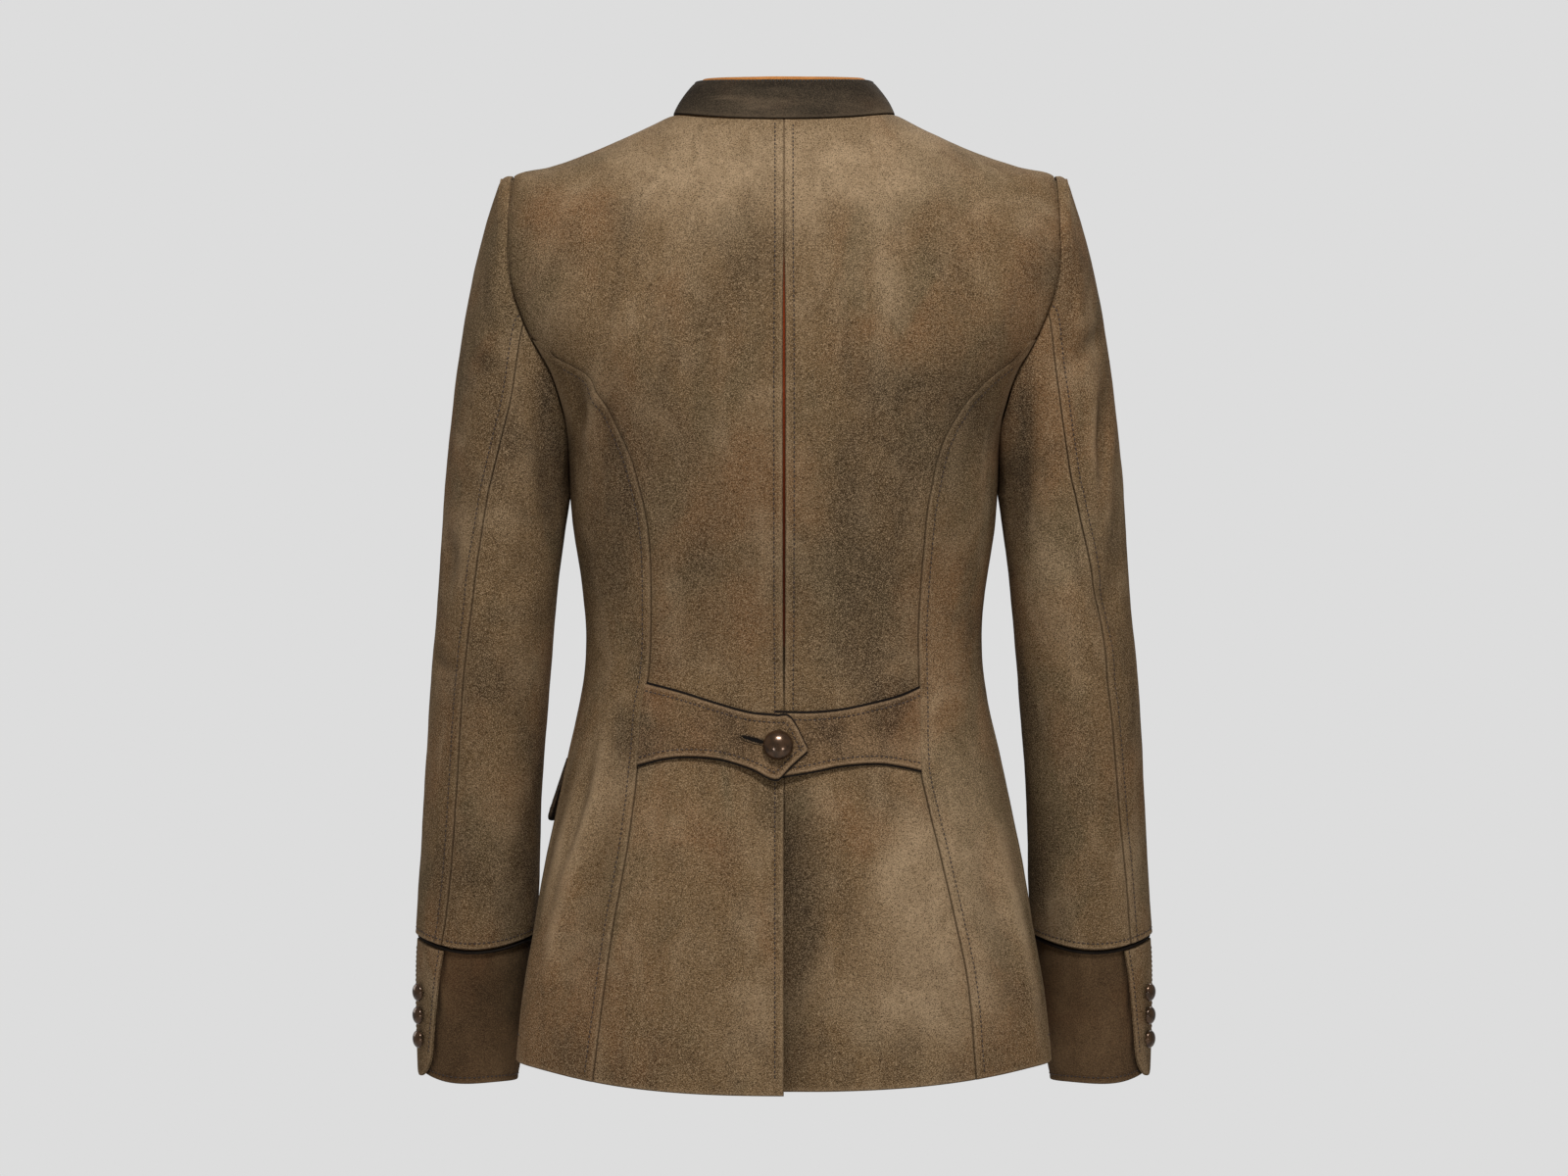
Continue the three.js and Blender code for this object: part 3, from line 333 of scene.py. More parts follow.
def folded(points, normals, folds):
    """How far the given folds move each point along its normal."""
    out = np.zeros(points.shape[:-1])
    for fold in folds:
        distance, share = near_path(points[..., 0], -points[..., 2], fold["path"])
        fade = np.sin(np.pi * np.clip(share, 0.02, 0.98)) ** 0.7
        facing = smooth(0.05, 0.4, normals[..., 1] * fold["face"])
        out += fold["out"] * bell(distance, fold["spread"]) * fade * facing
    return out


def waves(points, seed, size, count=7):
    """A soft uneven surface from a few sine waves of one size, between about -1 and 1."""
    chance = np.random.default_rng(seed)
    total = np.zeros(points.shape[:-1])
    for _ in range(count):
        direction = unit(chance.normal(size=3) * (1, 1, 0.6))
        length = size * chance.uniform(0.7, 1.5)
        total += np.sin(points @ direction * (2 * math.pi / length) + chance.uniform(0, 2 * math.pi))
    return total / math.sqrt(count * 2)


def softness(points):
    """The unevenness of hide after long use: broad, middling and small."""
    return 0.5 * waves(points, 11, 95) + 0.22 * waves(points, 12, 38) + 0.09 * waves(points, 13, 15)


# Patches on the back, partly dye and partly painted light and shade: across, drop, half width and half
# height, how much lighter or darker, and how much warmer or greyer
PATCHES = [
    (62, 38, 70, 40, 0.7, -0.5), (-62, 40, 70, 40, 0.74, -0.4), (138, 96, 34, 34, 0.15, 0.2),
    (60, 290, 50, 80, -0.42, 0.3), (-58, 300, 50, 90, -0.46, -0.1), (-9, 560, 11, 80, -0.5, -0.3),
    (-62, 376, 32, 20, -0.4, -0.4), (120, 540, 30, 80, -0.18, 0.1), (-122, 530, 34, 90, 0.48, 0.1),
    (214, 628, 30, 44, -0.3, -0.1), (60, 436, 44, 14, -0.3, 0.2), (20, 452, 26, 8, 0.3, 0),
    (-60, 438, 40, 12, 0.4, -0.1), (84, 560, 40, 60, -0.04, 0.2), (-84, 560, 40, 60, 0.34, 0.1),
    (-22, 525, 13, 60, -0.3, -0.2), (149, 80, 28, 25, -0.35, 0.8), (73, 52, 27, 17, 0.25, -0.2),
    (-118, 80, 23, 23, -0.2, 0.8), (-167, 75, 15, 13, 0.35, 0), (87, 150, 17, 20, 0.35, -0.5),
    (59, 104, 19, 23, 0.25, -0.3), (-78, 181, 31, 19, -0.35, -0.7), (-87, 230, 28, 41, -0.42, -0.2),
    (-120, 196, 17, 23, -0.35, -0.2), (112, 239, 20, 40, -0.6, 0.5), (122, 307, 15, 31, -0.45, -0.4),
    (29, 249, 23, 40, 0.1, 0.7), (-25, 246, 16, 40, 0.3, -0.6), (-51, 311, 17, 35, -0.28, -0.7),
    (-96, 311, 16, 29, 0.05, 0.6), (82, 368, 23, 15, -0.3, -0.3), (38, 351, 24, 23, -0.05, 0.6),
    (-77, 396, 16, 7, -0.6, 0), (102, 423, 12, 17, -0.5, -0.6), (11, 464, 20, 15, -0.45, -0.5),
    (38, 508, 16, 16, -0.4, 0.7), (96, 493, 20, 23, 0.35, 0), (127, 530, 15, 20, 0.3, 0.1),
    (-15, 475, 11, 12, 0.35, -0.6), (-51, 493, 13, 15, -0.3, 0.7), (-87, 515, 23, 27, 0.4, 0),
    (-13, 530, 9, 44, -0.3, -0.3), (-33, 603, 13, 20, 0.3, -0.2), (-78, 603, 23, 23, 0.4, 0.1),
    (114, 595, 19, 17, -0.15, 0.4), (60, 635, 23, 13, -0.35, 0.2), (136, 620, 13, 13, -0.25, 0.5),
    (-42, 640, 17, 12, -0.4, -0.3), (-118, 605, 16, 20, 0.1, 0.2), (53, 566, 20, 27, 0.3, -0.1),
    (212, 177, 12, 13, -0.35, 0), (156, 148, 15, 28, 0.36, 0.1), (-158, 140, 14, 26, 0.2, 0.1),
    (192, 230, 13, 24, -0.4, 0.1), (207, 341, 13, 20, 0.3, -0.5), (202, 395, 16, 20, -0.4, 0.1),
    (194, 475, 15, 23, 0.3, 0.4), (176, 440, 8, 27, -0.35, 0), (220, 520, 13, 20, -0.15, 0.1),
    (-189, 119, 11, 23, -0.5, -0.6), (-185, 206, 12, 15, 0.35, 0.2), (-176, 259, 12, 20, 0.3, 0.4),
    (-220, 293, 9, 29, -0.4, -0.1), (-207, 359, 15, 27, -0.1, -0.4), (-194, 436, 15, 17, 0.2, 0.6),
    (-229, 462, 9, 19, 0.3, 0), (-176, 536, 8, 20, -0.4, 0.2), (-216, 536, 16, 17, -0.05, -0.4),
    (214, 613, 17, 20, -0.2, 0.3), (-207, 620, 13, 16, 0.1, 0.5),
]

# Darker patches on the sleeves alone, painted shade where they hang close to the body, and near their cuffs'
# edge
SLEEVE_PATCHES = [
    (204, 300, 46, 200, -0.34, 0.1), (-204, 300, 46, 200, -0.12, 0.1), (206, 520, 40, 60, -0.2, 0),
    (163, 205, 9, 44, -0.75, 0), (157, 262, 8, 30, -0.3, 0.1), (-163, 212, 9, 44, -0.8, 0),
    (-157, 262, 8, 26, -0.5, 0.1), (177, 520, 9, 40, -0.5, 0), (-178, 520, 9, 40, -0.5, 0),
]


DYE_AND_PAINTED_LIGHT = {"spread": 0.85, "light": 1.1, "warm": 0.8}


def dye_and_painted_light(points, normals, patches):
    """How light and how warm each point is, partly from dye and partly painted light and shade, from 0 to 1
    with 0.5 as the plain hide.
    """
    across = points[..., 0] + 7 * waves(points, 3, 46)
    down = -points[..., 2] + 9 * waves(points, 4, 52)
    behind = smooth(-0.1, 0.3, normals[..., 1])
    light = np.zeros(points.shape[:-1])
    warm = np.zeros(points.shape[:-1])
    for x, drop, half_width, half_height, lighter, warmer in patches:
        near = bell(across - x, half_width * DYE_AND_PAINTED_LIGHT["spread"]) * bell(down - drop, half_height * DYE_AND_PAINTED_LIGHT["spread"])
        light += DYE_AND_PAINTED_LIGHT["light"] * lighter * (near * behind)
        warm += DYE_AND_PAINTED_LIGHT["warm"] * warmer * (near * behind)
    return 0.5 + np.clip(light, -1, 1) / 2, 0.5 + np.clip(warm, -1, 1) / 2


# Grids of places and the shells made from them

NEAR_EDGE = np.array([0, 0.35, 0.8, 1.4, 2.2, 3.4, 4.8, 5.5, 6.1, 6.8, 8.5])
STEP = 3.0  # even spacing of rows and columns away from the edges


def shares_across(width, steps):
    """Shares of each row's width, close together near both of its edges and even between them."""
    width = np.asarray(width, float)[:, None]
    near = NEAR_EDGE[None, :] * np.minimum(1, width / (2.6 * NEAR_EDGE[-1])) / width
    between = mix(near[:, -1:], 1 - near[:, -1:], np.linspace(0, 1, steps + 2)[None, 1:-1])
    return np.concatenate([near, between, 1 - near[:, ::-1]], axis=1)


def spaced(start, end, step=STEP):
    """Even places from start to end, both included."""
    return np.linspace(start, end, max(2, int(round(abs(end - start) / step)) + 1))


def run_lengths(points, axis):
    """Length of a grid's lines along an axis."""
    return np.linalg.norm(np.diff(points, axis=axis), axis=-1).sum(axis=axis)


def edge_of(grid, name, inside=0):
    """One of a grid's four edges, or the line that is some steps inside it."""
    back = -1 - inside
    return {"first": grid[:, inside], "last": grid[:, back], "top": grid[inside], "bottom": grid[back]}[name]


def distance_from(points, edge):
    """Distance of every point from an edge's line."""
    dense = [edge[:1]]
    for start, end in zip(edge[:-1], edge[1:]):
        count = max(1, int(np.linalg.norm(end - start) / 0.8))
        dense.append(mix(start, end, (np.arange(1, count + 1) / count)[:, None]))
    dense = np.concatenate(dense)
    tree = kdtree.KDTree(len(dense))
    for k, point in enumerate(dense):
        tree.insert(point, k)
    tree.balance()
    flat = points.reshape(-1, 3)
    return np.array([tree.find(point)[2] for point in flat]).reshape(points.shape[:-1])


def rolled(distance, radius):
    """How far a rounded edge falls away at a distance from it."""
    inside = np.clip(radius - distance, 0, radius)
    return radius - np.sqrt(radius**2 - inside**2)


CHANNEL = {
    "spread": 0.8, "pucker": 0.2, "pucker_size": 8.5, "pucker_reach": 7, "dark": 0.14, "dark_spread": 0.6
}
# Fold crests paler, partly wear and partly painted highlight; fold troughs darker, painted shade
CREST_WEAR_AND_HIGHLIGHT = 0.65
TROUGH_PAINTED_SHADE = 0.18


class Cut:
    """A cut piece: its grid of places, its outward directions, and how far each place is from its edges."""

    def __init__(self, name, points, normals, thickness=HIDE, side=1):
        mirror = np.array([side, 1, 1])
        self.name = name
        self.points = points * mirror
        self.normals = normals * mirror
        self.thickness = thickness
        self.out = np.zeros(points.shape[:-1])
        self.worn = np.zeros(points.shape[:-1])
        self.dark = np.zeros(points.shape[:-1])
        self.broad = np.zeros(points.shape[:-1])
        self.far = {}

    def inset(self, **gaps):
        """Moves edges towards the inside by small gaps."""
        for name, gap in gaps.items():
            edge = edge_of(self.points, name)
            along = unit(np.gradient(edge, axis=0))
            inward = edge_of(self.points, name, 1) - edge
            inward = unit(inward - along * np.sum(inward * along, axis=-1, keepdims=True))
            edge += inward * gap
        return self

    def far_from(self, name):
        if name not in self.far:
            self.far[name] = distance_from(self.points, edge_of(self.points, name))
        return self.far[name]

    def roll(self, radius, *names, worn=0.5, dark=0.5, seam_dark_spread=0.42):
        """Rounds edges over and makes them paler, partly wear and partly painted highlight, and darker in
        the seam, partly dirt and partly painted shade. The radius may vary.
        """
        for name in names:
            far = self.far_from(name)
            radius = np.broadcast_to(radius, far.shape)
            self.out -= rolled(far, radius)
            self.worn = np.maximum(self.worn, worn * bell(far - radius * 1.1, radius * 0.8))
            self.dark = np.maximum(self.dark, dark * bell(far, seam_dark_spread))
        return self

    def lap(self, height, *names, width=7.4):
        """Raises an edge over the seam allowance that lies under it."""
        for name in names:
            far = self.far_from(name)
            self.out += height * (1 - smooth(width - 1.6, width + 1.6, far))
        return self

    def sink(self, depth, *names, width=4):
        """Draws an edge down into its seam."""
        for name in names:
            self.out -= depth * (1 - smooth(0, width, self.far_from(name)))
        return self

    def channel(self, offset, *names, depth=0.3, seed=5):
        """The shallow channel and the puckers that a line of stitches draws, with painted shade along the
        channel.
        """
        for name in names:
            far = self.far_from(name)
            self.out -= depth * bell(far - offset, CHANNEL["spread"])
            pucker = CHANNEL["pucker"] * waves(self.points, seed, CHANNEL["pucker_size"], 5)
            pucker = pucker * (1 - smooth(offset, offset + CHANNEL["pucker_reach"], far))
            self.out += pucker * smooth(0, 2, far)
            # painted shade along the channel
            self.dark = np.maximum(self.dark, CHANNEL["dark"] * bell(far - offset, CHANNEL["dark_spread"]))
        return self

    def outer(self):
        return self.points + self.normals * self.out[..., None]

    def line_at(self, name, offset, start=None, end=None):
        """The line on the outer face at a distance from an edge, with its outward directions."""
        far = self.far_from(name)
        outer = self.outer()
        normals = self.normals
        if name in ("top", "bottom"):
            far, outer, normals = far.T, outer.transpose(1, 0, 2), normals.transpose(1, 0, 2)
        if name in ("last", "bottom"):
            far, outer, normals = far[:, ::-1], outer[:, ::-1], normals[:, ::-1]
        places, ways = [], []
        for distances, row, ways_out in zip(far, outer, normals):
            beyond = np.flatnonzero(distances >= offset)
            if len(beyond) == 0 or beyond[0] == 0:
                continue
            j = beyond[0]
            t = (offset - distances[j - 1]) / (distances[j] - distances[j - 1])
            places.append(mix(row[j - 1], row[j], t))
            ways.append(mix(ways_out[j - 1], ways_out[j], t))
        places, ways = np.array(places), unit(np.array(ways))
        if start is not None:
            kept = (-places[:, 2] >= start) & (-places[:, 2] <= end)
            places, ways = places[kept], ways[kept]
        return places, ways

    def shell(self, material):
        """Closes the piece into a thin shell between its outer face and its inner one, which follows
        the folds but not the fine relief of the edges."""
        rows, columns = self.points.shape[:2]
        lift = np.where(np.abs(self.out) > 0, self.broad, 0)
        inner = self.points - self.normals * (self.thickness - lift)[..., None]
        vertices = np.concatenate([self.outer().reshape(-1, 3), inner.reshape(-1, 3)]) * METRE
        index = np.arange(rows * columns).reshape(rows, columns)
        below = index + rows * columns
        faces = [
            np.stack([index[:-1, :-1], index[1:, :-1], index[1:, 1:], index[:-1, 1:]], -1),
            np.stack([below[:-1, :-1], below[:-1, 1:], below[1:, 1:], below[1:, :-1]], -1),
            np.stack([index[0, :-1], index[0, 1:], below[0, 1:], below[0, :-1]], -1),
            np.stack([index[-1, 1:], index[-1, :-1], below[-1, :-1], below[-1, 1:]], -1),
            np.stack([index[1:, 0], index[:-1, 0], below[:-1, 0], below[1:, 0]], -1),
            np.stack([index[:-1, -1], index[1:, -1], below[1:, -1], below[:-1, -1]], -1),
        ]
        faces = np.concatenate([f.reshape(-1, 4) for f in faces])
        a, b, c = (vertices[faces[:, k]] for k in range(3))
        if np.sum(a * np.cross(b, c)) + np.sum(a * np.cross(c, vertices[faces[:, 3]])) < 0:
            faces = faces[:, ::-1]
        sleeve = SLEEVE_PATCHES if self.name.startswith("sleeve") else []
        light, warm = dye_and_painted_light(self.points, self.normals, PATCHES + sleeve)
        plain = np.zeros(rows * columns)
        outside = {"worn": self.worn, "dark": self.dark, "light": light, "warm": warm}
        inside = {"worn": 0, "dark": 0, "light": 0.5, "warm": 0.5}
        shades = {
            key: np.concatenate([shade.ravel(), plain + inside[key]]) for key, shade in outside.items()
        }
        return make_object(self.name + "_shell", vertices, faces, material, shades)

    def fold(self, folds, soft=1.0):
        """Adds the folds and the hide's unevenness, which the inner face follows. The crests are paler,
        partly wear and partly painted highlight, and the troughs darker with painted shade.
        """
        creases = folded(self.points, self.normals, folds)
        self.broad = creases + soft * softness(self.points)
        self.out = self.out + self.broad
        self.worn = np.maximum(self.worn, CREST_WEAR_AND_HIGHLIGHT * smooth(0.6, 2.6, creases))
        self.dark = np.maximum(self.dark, TROUGH_PAINTED_SHADE * smooth(0.8, 3.6, -creases))
        return self

    def raise_by(self, lift):
        """Lifts the whole piece, its inner face as well."""
        self.points = self.points + self.normals * np.asarray(lift)[..., None]
        return self

    def flat_size(self):
        """The cut's flat size: widest across, longest down, and its area, in metres."""
        across = run_lengths(self.points, 1)
        down = run_lengths(self.points, 0)
        edge_a = self.points[1:, :-1] - self.points[:-1, :-1]
        edge_b = self.points[:-1, 1:] - self.points[:-1, :-1]
        edge_c = self.points[1:, :-1] - self.points[1:, 1:]
        edge_d = self.points[:-1, 1:] - self.points[1:, 1:]
        area = np.linalg.norm(np.cross(edge_a, edge_b), axis=-1).sum() / 2
        area += np.linalg.norm(np.cross(edge_c, edge_d), axis=-1).sum() / 2
        return across.max() * METRE, down.max() * METRE, area * METRE**2


def add_object(name, data):
    made = bpy.data.objects.new(name, data)
    bpy.context.scene.collection.objects.link(made)
    return made


def make_object(name, vertices, faces, material, shades=None, sharp=55):
    """A smooth mesh object from vertices in metres, with its shades as attributes of its points."""
    mesh = bpy.data.meshes.new(name)
    mesh.from_pydata([tuple(v) for v in vertices], [], [tuple(int(k) for k in f) for f in faces])
    for shade, values in (shades or {}).items():
        layer = mesh.attributes.new(shade, "FLOAT", "POINT")
        layer.data.foreach_set("value", np.clip(values, 0, 1).astype(np.float32))
    mesh.validate()
    mesh.polygons.foreach_set("use_smooth", [True] * len(mesh.polygons))
    mesh.set_sharp_from_angle(angle=sharp * DEGREE)
    mesh.materials.append(material)
    made = add_object(name, mesh)
    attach(made, "root")
    return made


# Materials, all made of nodes


class Look:
    """A material under construction: short calls that add a node and give its output."""

    def __init__(self, name):
        self.material = bpy.data.materials.new(name)
        self.material.use_nodes = True
        self.nodes = self.material.node_tree.nodes
        self.links = self.material.node_tree.links
        self.shader = self.nodes["Principled BSDF"]
        self.place = self.nodes.new("ShaderNodeTexCoord").outputs["Object"]

    def link(self, source, socket):
        self.links.new(source, socket)

    def add(self, kind, **numbers):
        """A new node, with numbers for its inputs by their names."""
        node = self.nodes.new(kind)
        for name, number in numbers.items():
            node.inputs[name].default_value = number
        return node

    def noise(self, scale, detail=3.0, roughness=0.55, distortion=0.0, stretch=None):
        numbers = {"Scale": scale, "Detail": detail, "Roughness": roughness, "Distortion": distortion}
        node = self.add("ShaderNodeTexNoise", **numbers)
        place = self.place
        if stretch:
            mapping = self.add("ShaderNodeMapping", Scale=stretch)
            self.link(place, mapping.inputs["Vector"])
            place = mapping.outputs["Vector"]
        self.link(place, node.inputs["Vector"])
        return node.outputs["Fac"]

    def between(self, value, low, high, to_low=0.0, to_high=1.0):
        numbers = {"From Min": low, "From Max": high, "To Min": to_low, "To Max": to_high}
        node = self.add("ShaderNodeMapRange", **numbers)
        node.interpolation_type = "SMOOTHSTEP"
        self.link(value, node.inputs["Value"])
        return node.outputs["Result"]

    def attribute(self, name):
        node = self.add("ShaderNodeAttribute")
        node.attribute_name = name
        return node.outputs["Fac"]

    def times(self, a, b):
        node = self.add("ShaderNodeMath")
        node.operation = "MULTIPLY"
        self.link(a, node.inputs[0])
        if isinstance(b, float):
            node.inputs[1].default_value = b
        else:
            self.link(b, node.inputs[1])
        return node.outputs[0]

    def blend(self, factor, a, b):
        node = self.add("ShaderNodeMix")
        node.data_type = "RGBA"
        self.link(factor, node.inputs[0])
        for value, socket in ((a, node.inputs[6]), (b, node.inputs[7])):
            if isinstance(value, tuple):
                socket.default_value = (*value, 1)
            else:
                self.link(value, socket)
        return node.outputs[2]

    def layers(self, colour, strength, rows):
        """Lays dyes over a colour, each with its source, where it starts and is full, and its share."""
        for source, start, full, share, dye in rows:
            colour = self.blend(self.between(source, start, full, 0, share * strength), colour, dye)
        return colour

    def bump(self, height, distance, strength=1.0, under=None):
        node = self.add("ShaderNodeBump", Distance=distance, Strength=strength)
        self.link(height, node.inputs["Height"])
        if under is not None:
            self.link(under, node.inputs["Normal"])
        return node.outputs["Normal"]

    def finish(self, colour, normal=None, **numbers):
        self.link(colour, self.shader.inputs["Base Color"])
        if normal is not None:
            self.link(normal, self.shader.inputs["Normal"])
        for name, number in numbers.items():
            self.shader.inputs[name.replace("_", " ")].default_value = number
        return self.material


def linear(red, green, blue):
    """A colour given as it looks on a screen, from 0 to 255, as the shader needs it."""
    return tuple(((c / 255 + 0.055) / 1.055) ** 2.4 for c in (red, green, blue))


def suede(name, *dyes, cloud=1.0, grain=1.0, run=(1, 1, 0.65)):
    """Mottled suede: cloudy dye that runs one way, a speckled nap, patches of dye and of painted light and
    shade, edges paler with wear and painted highlight, and seams darker with dirt and painted shade.
    """
    base, warm, olive, pale, deep = (linear(*dye) for dye in dyes)
    look = Look(name)
    uneven = look.noise(60.0, 4.0, 0.65, 0.6, run)
    patches = look.noise(13.0, 3.5, 0.55, 0.5, run)
    greys = look.noise(10.0, 3.5, 0.55, 0.9, run)
    lights = look.noise(17.0, 4.0, 0.6, 0.4, run)
    streaks = look.noise(34.0, 4.0, 0.6, 0.3, tuple(r * r for r in run))
    colour = look.layers(base, cloud, [
        (patches, 0.46, 0.62, 0.75, warm), (greys, 0.5, 0.64, 0.7, olive),
        (lights, 0.5, 0.72, 0.5, pale), (lights, 0.48, 0.3, 0.52, deep),
        (streaks, 0.5, 0.7, 0.3, pale), (streaks, 0.48, 0.3, 0.35, deep),
    ])
    ragged = look.between(uneven, 0.3, 0.7, 0.55, 1.15)
    # Patches from the light and warm attributes: partly dye, partly painted light and shade
    light, warmth = look.attribute("light"), look.attribute("warm")
    for source, start, full, dye in (
        (warmth, 0.52, 1, warm), (warmth, 0.48, 0, olive), (light, 0.52, 1, pale), (light, 0.48, 0, deep),
    ):
        colour = look.blend(look.times(look.between(source, start, full, 0, 0.9), ragged), colour, dye)
    nap = look.noise(950.0, 2.0, 0.6)
    speck = look.noise(1700.0, 1.0, 0.6)
    colour = look.layers(colour, grain, [
        (nap, 0.5, 0.66, 0.42, deep), (nap, 0.48, 0.34, 0.32, pale),
        (speck, 0.53, 0.68, 0.62, pale), (speck, 0.47, 0.33, 0.75, deep),
    ])
    # Paler edges and crests: wear and painted highlight. Darker seams, channels, troughs: dirt and painted
    # shade
    colour = look.blend(look.times(look.attribute("worn"), 0.42), colour, pale)
    colour = look.blend(look.times(look.attribute("dark"), 0.8), colour, tuple(c * 0.3 for c in deep))
    relief = look.bump(nap, 0.0008, 0.6 * grain)
    relief = look.bump(speck, 0.0004, 0.6 * grain, relief)
    return look.finish(colour, relief, Roughness=0.95, Specular_IOR_Level=0.06)


def button_look():
    look = Look("polished_button")
    cloud = look.noise(190.0, 3.0, 0.6)
    colour = look.blend(look.between(cloud, 0.4, 0.7), linear(80, 58, 40), linear(54, 40, 28))
    relief = look.bump(look.noise(1500.0, 2.0), 0.00002, 0.3)
    return look.finish(colour, relief, Metallic=0.6, Roughness=0.2, Specular_IOR_Level=0.6)


def thread_look(name, colour):
    look = Look(name)
    twist = look.noise(1800.0, 2.0, 0.6)
    shade = look.blend(look.between(twist, 0.35, 0.7), colour, tuple(c * 0.55 for c in colour))
    return look.finish(shade, look.bump(twist, 0.0001, 0.6), Roughness=0.7)


# Each suede's plain, warmer, greyer, paler and deeper dyes
SUEDE = suede(
    "brown_suede", (98, 76, 50), (107, 76, 48), (80, 69, 48), (151, 128, 100), (46, 35, 23), grain=1.2
)
BELT_SUEDE = suede(
    "belt_suede", (91, 70, 46), (100, 70, 44), (74, 63, 45), (150, 124, 96), (36, 26, 17),
    cloud=1.35, grain=1.15,
)
CUFF_SUEDE = suede(
    "cuff_suede", (75, 57, 39), (81, 56, 36), (60, 50, 36), (108, 85, 60), (40, 28, 18), grain=0.8
)
DARK_SUEDE = suede(
    "dark_suede", (38, 33, 26), (50, 38, 28), (32, 28, 23), (92, 78, 62), (18, 15, 12),
    cloud=1.9, grain=0.6, run=(0.6, 0.6, 1.5),
)
TAN_LEATHER = suede(
    "tan_leather", (158, 102, 52), (164, 100, 46), (132, 88, 50), (186, 130, 76), (98, 60, 32),
    cloud=0.7, grain=0.4,
)
RUST_CLOTH = suede(
    "rust_cloth", (116, 46, 20), (126, 48, 18), (90, 38, 20), (136, 66, 36), (56, 23, 12),
    cloud=0.7, grain=0.6,
)
BLACK_EDGE = suede(
    "black_edge", (26, 22, 19), (30, 24, 20), (24, 21, 19), (40, 34, 29), (12, 10, 9), cloud=0.7, grain=0.6
)
BUTTON = button_look()
THREAD = thread_look("brown_thread", linear(46, 30, 20))
DARK_THREAD = thread_look("dark_thread", linear(15, 12, 10))


# Stitches, joined into one mesh for each piece they are sewn on

STITCH = {"pitch": 3.3, "length": 2.1, "width": 0.5, "height": 0.36}
RIM_STITCH = {"pitch": 2.6, "length": 1.4, "width": 0.75, "height": 0.4}


def even_places(line, ways, pitch):
    """Places at an even pitch along a line, with their outward and forward directions."""
    run = np.concatenate([[0], np.cumsum(np.linalg.norm(np.diff(line, axis=0), axis=-1))])
    count = int(run[-1] / pitch)
    at = (np.arange(count) + 0.5) * pitch
    places = np.stack([np.interp(at, run, line[:, k]) for k in range(3)], -1)
    outward = unit(np.stack([np.interp(at, run, ways[:, k]) for k in range(3)], -1))
    ahead = np.stack([np.interp(at + 0.8, run, line[:, k]) for k in range(3)], -1)
    behind = np.stack([np.interp(at - 0.8, run, line[:, k]) for k in range(3)], -1)
    forward = ahead - behind
    forward = unit(forward - outward * np.sum(forward * outward, axis=-1, keepdims=True))
    return places, outward, forward


def tube_faces(first, rings, around, closed=False):
    """The faces between rings of vertices, and from the last ring back to the first one where closed."""
    faces = []
    for ring in range(rings if closed else rings - 1):
        for k in range(around):
            a, b = ring * around + k, ring * around + (k + 1) % around
            faces.append(tuple(first + spot % (rings * around) for spot in (a, b, b + around, a + around)))
    return faces


def stitches(name, lines, material, size):
    """Every stitch of some lines as a small rounded bead of thread, half sunk in the hide."""
    around, rings = 6, ((-1, 0.25), (-0.6, 0.85), (0, 1), (0.6, 0.85), (1, 0.25))
    sunk = 0.08
    vertices, faces = [], []
    for line, ways in lines:
        places, outward, forward = even_places(line, ways, size["pitch"])
        sideways = np.cross(outward, forward)
        for place, up, ahead, aside in zip(places, outward, forward, sideways):
            first = len(vertices)
            for along, fat in rings:
                for k in range(around):
                    turn = 2 * math.pi * k / around
                    vertices.append(
                        place
                        + ahead * along * size["length"] / 2
                        + aside * math.cos(turn) * size["width"] * fat
                        + up * (math.sin(turn) * size["height"] * fat + sunk)
                    )
            faces += tube_faces(first, len(rings), around)
            faces.append(tuple(first + k for k in reversed(range(around))))
            faces.append(tuple(first + (len(rings) - 1) * around + k for k in range(around)))
    return make_object(name, np.array(vertices) * METRE, faces, material, sharp=80)


SEWN = {}  # shells by node, with their cut and what is sewn on them


def add_cut(cut, material, *lines, thread=THREAD, stitch=STITCH, replaces=True):
    """Makes a piece's shell and its stitches, and hides the CAD node that it stands for, where it replaces
    one.
    """
    made = cut.shell(material)
    if replaces:
        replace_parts(made, cut.name)
    lines = [line for line in lines if len(line[0]) > 1]
    sewn = [stitches(cut.name + "_stitches", lines, thread, stitch)] if lines else []
    SEWN[cut.name] = {"shell": made, "cut": cut, "with": sewn}


ALLOWANCE = {"inward": 8.0, "beyond": 2.5, "below": 0.5, "thickness": 0.8}


def allowance(cut, *edges, reach=0.0):
    """The seam allowances turned inwards behind some edges, which close the seams from behind. They may
    reach past their edge's ends."""
    for edge in edges:
        way_out = unit(edge_of(cut.normals, edge))
        rim = edge_of(cut.points, edge) + edge_of(cut.normals, edge) * edge_of(cut.broad, edge)[..., None]
        along = unit(np.gradient(rim, axis=0))
        rim[0] -= reach * along[0]
        rim[-1] += reach * along[-1]
        inward = edge_of(cut.points, edge, 9) - rim
        inward = inward - along * np.sum(inward * along, axis=-1, keepdims=True)
        inward = unit(inward - way_out * np.sum(inward * way_out, axis=-1, keepdims=True))
        offsets = np.linspace(-ALLOWANCE["beyond"], ALLOWANCE["inward"], 5)
        points = rim[:, None] + inward[:, None] * offsets[None, :, None]
        normals = np.broadcast_to(way_out[:, None], points.shape)
        strip = Cut(f"{cut.name}_{edge}_allowance", points, normals, ALLOWANCE["thickness"])
        SEWN[cut.name]["with"].append(strip.raise_by(-HIDE - ALLOWANCE["below"]).shell(SUEDE))


# Body panels

SIDES = {"left": 1, "right": -1}
STEADY = np.array([-20, -10, 0, 10, 20])


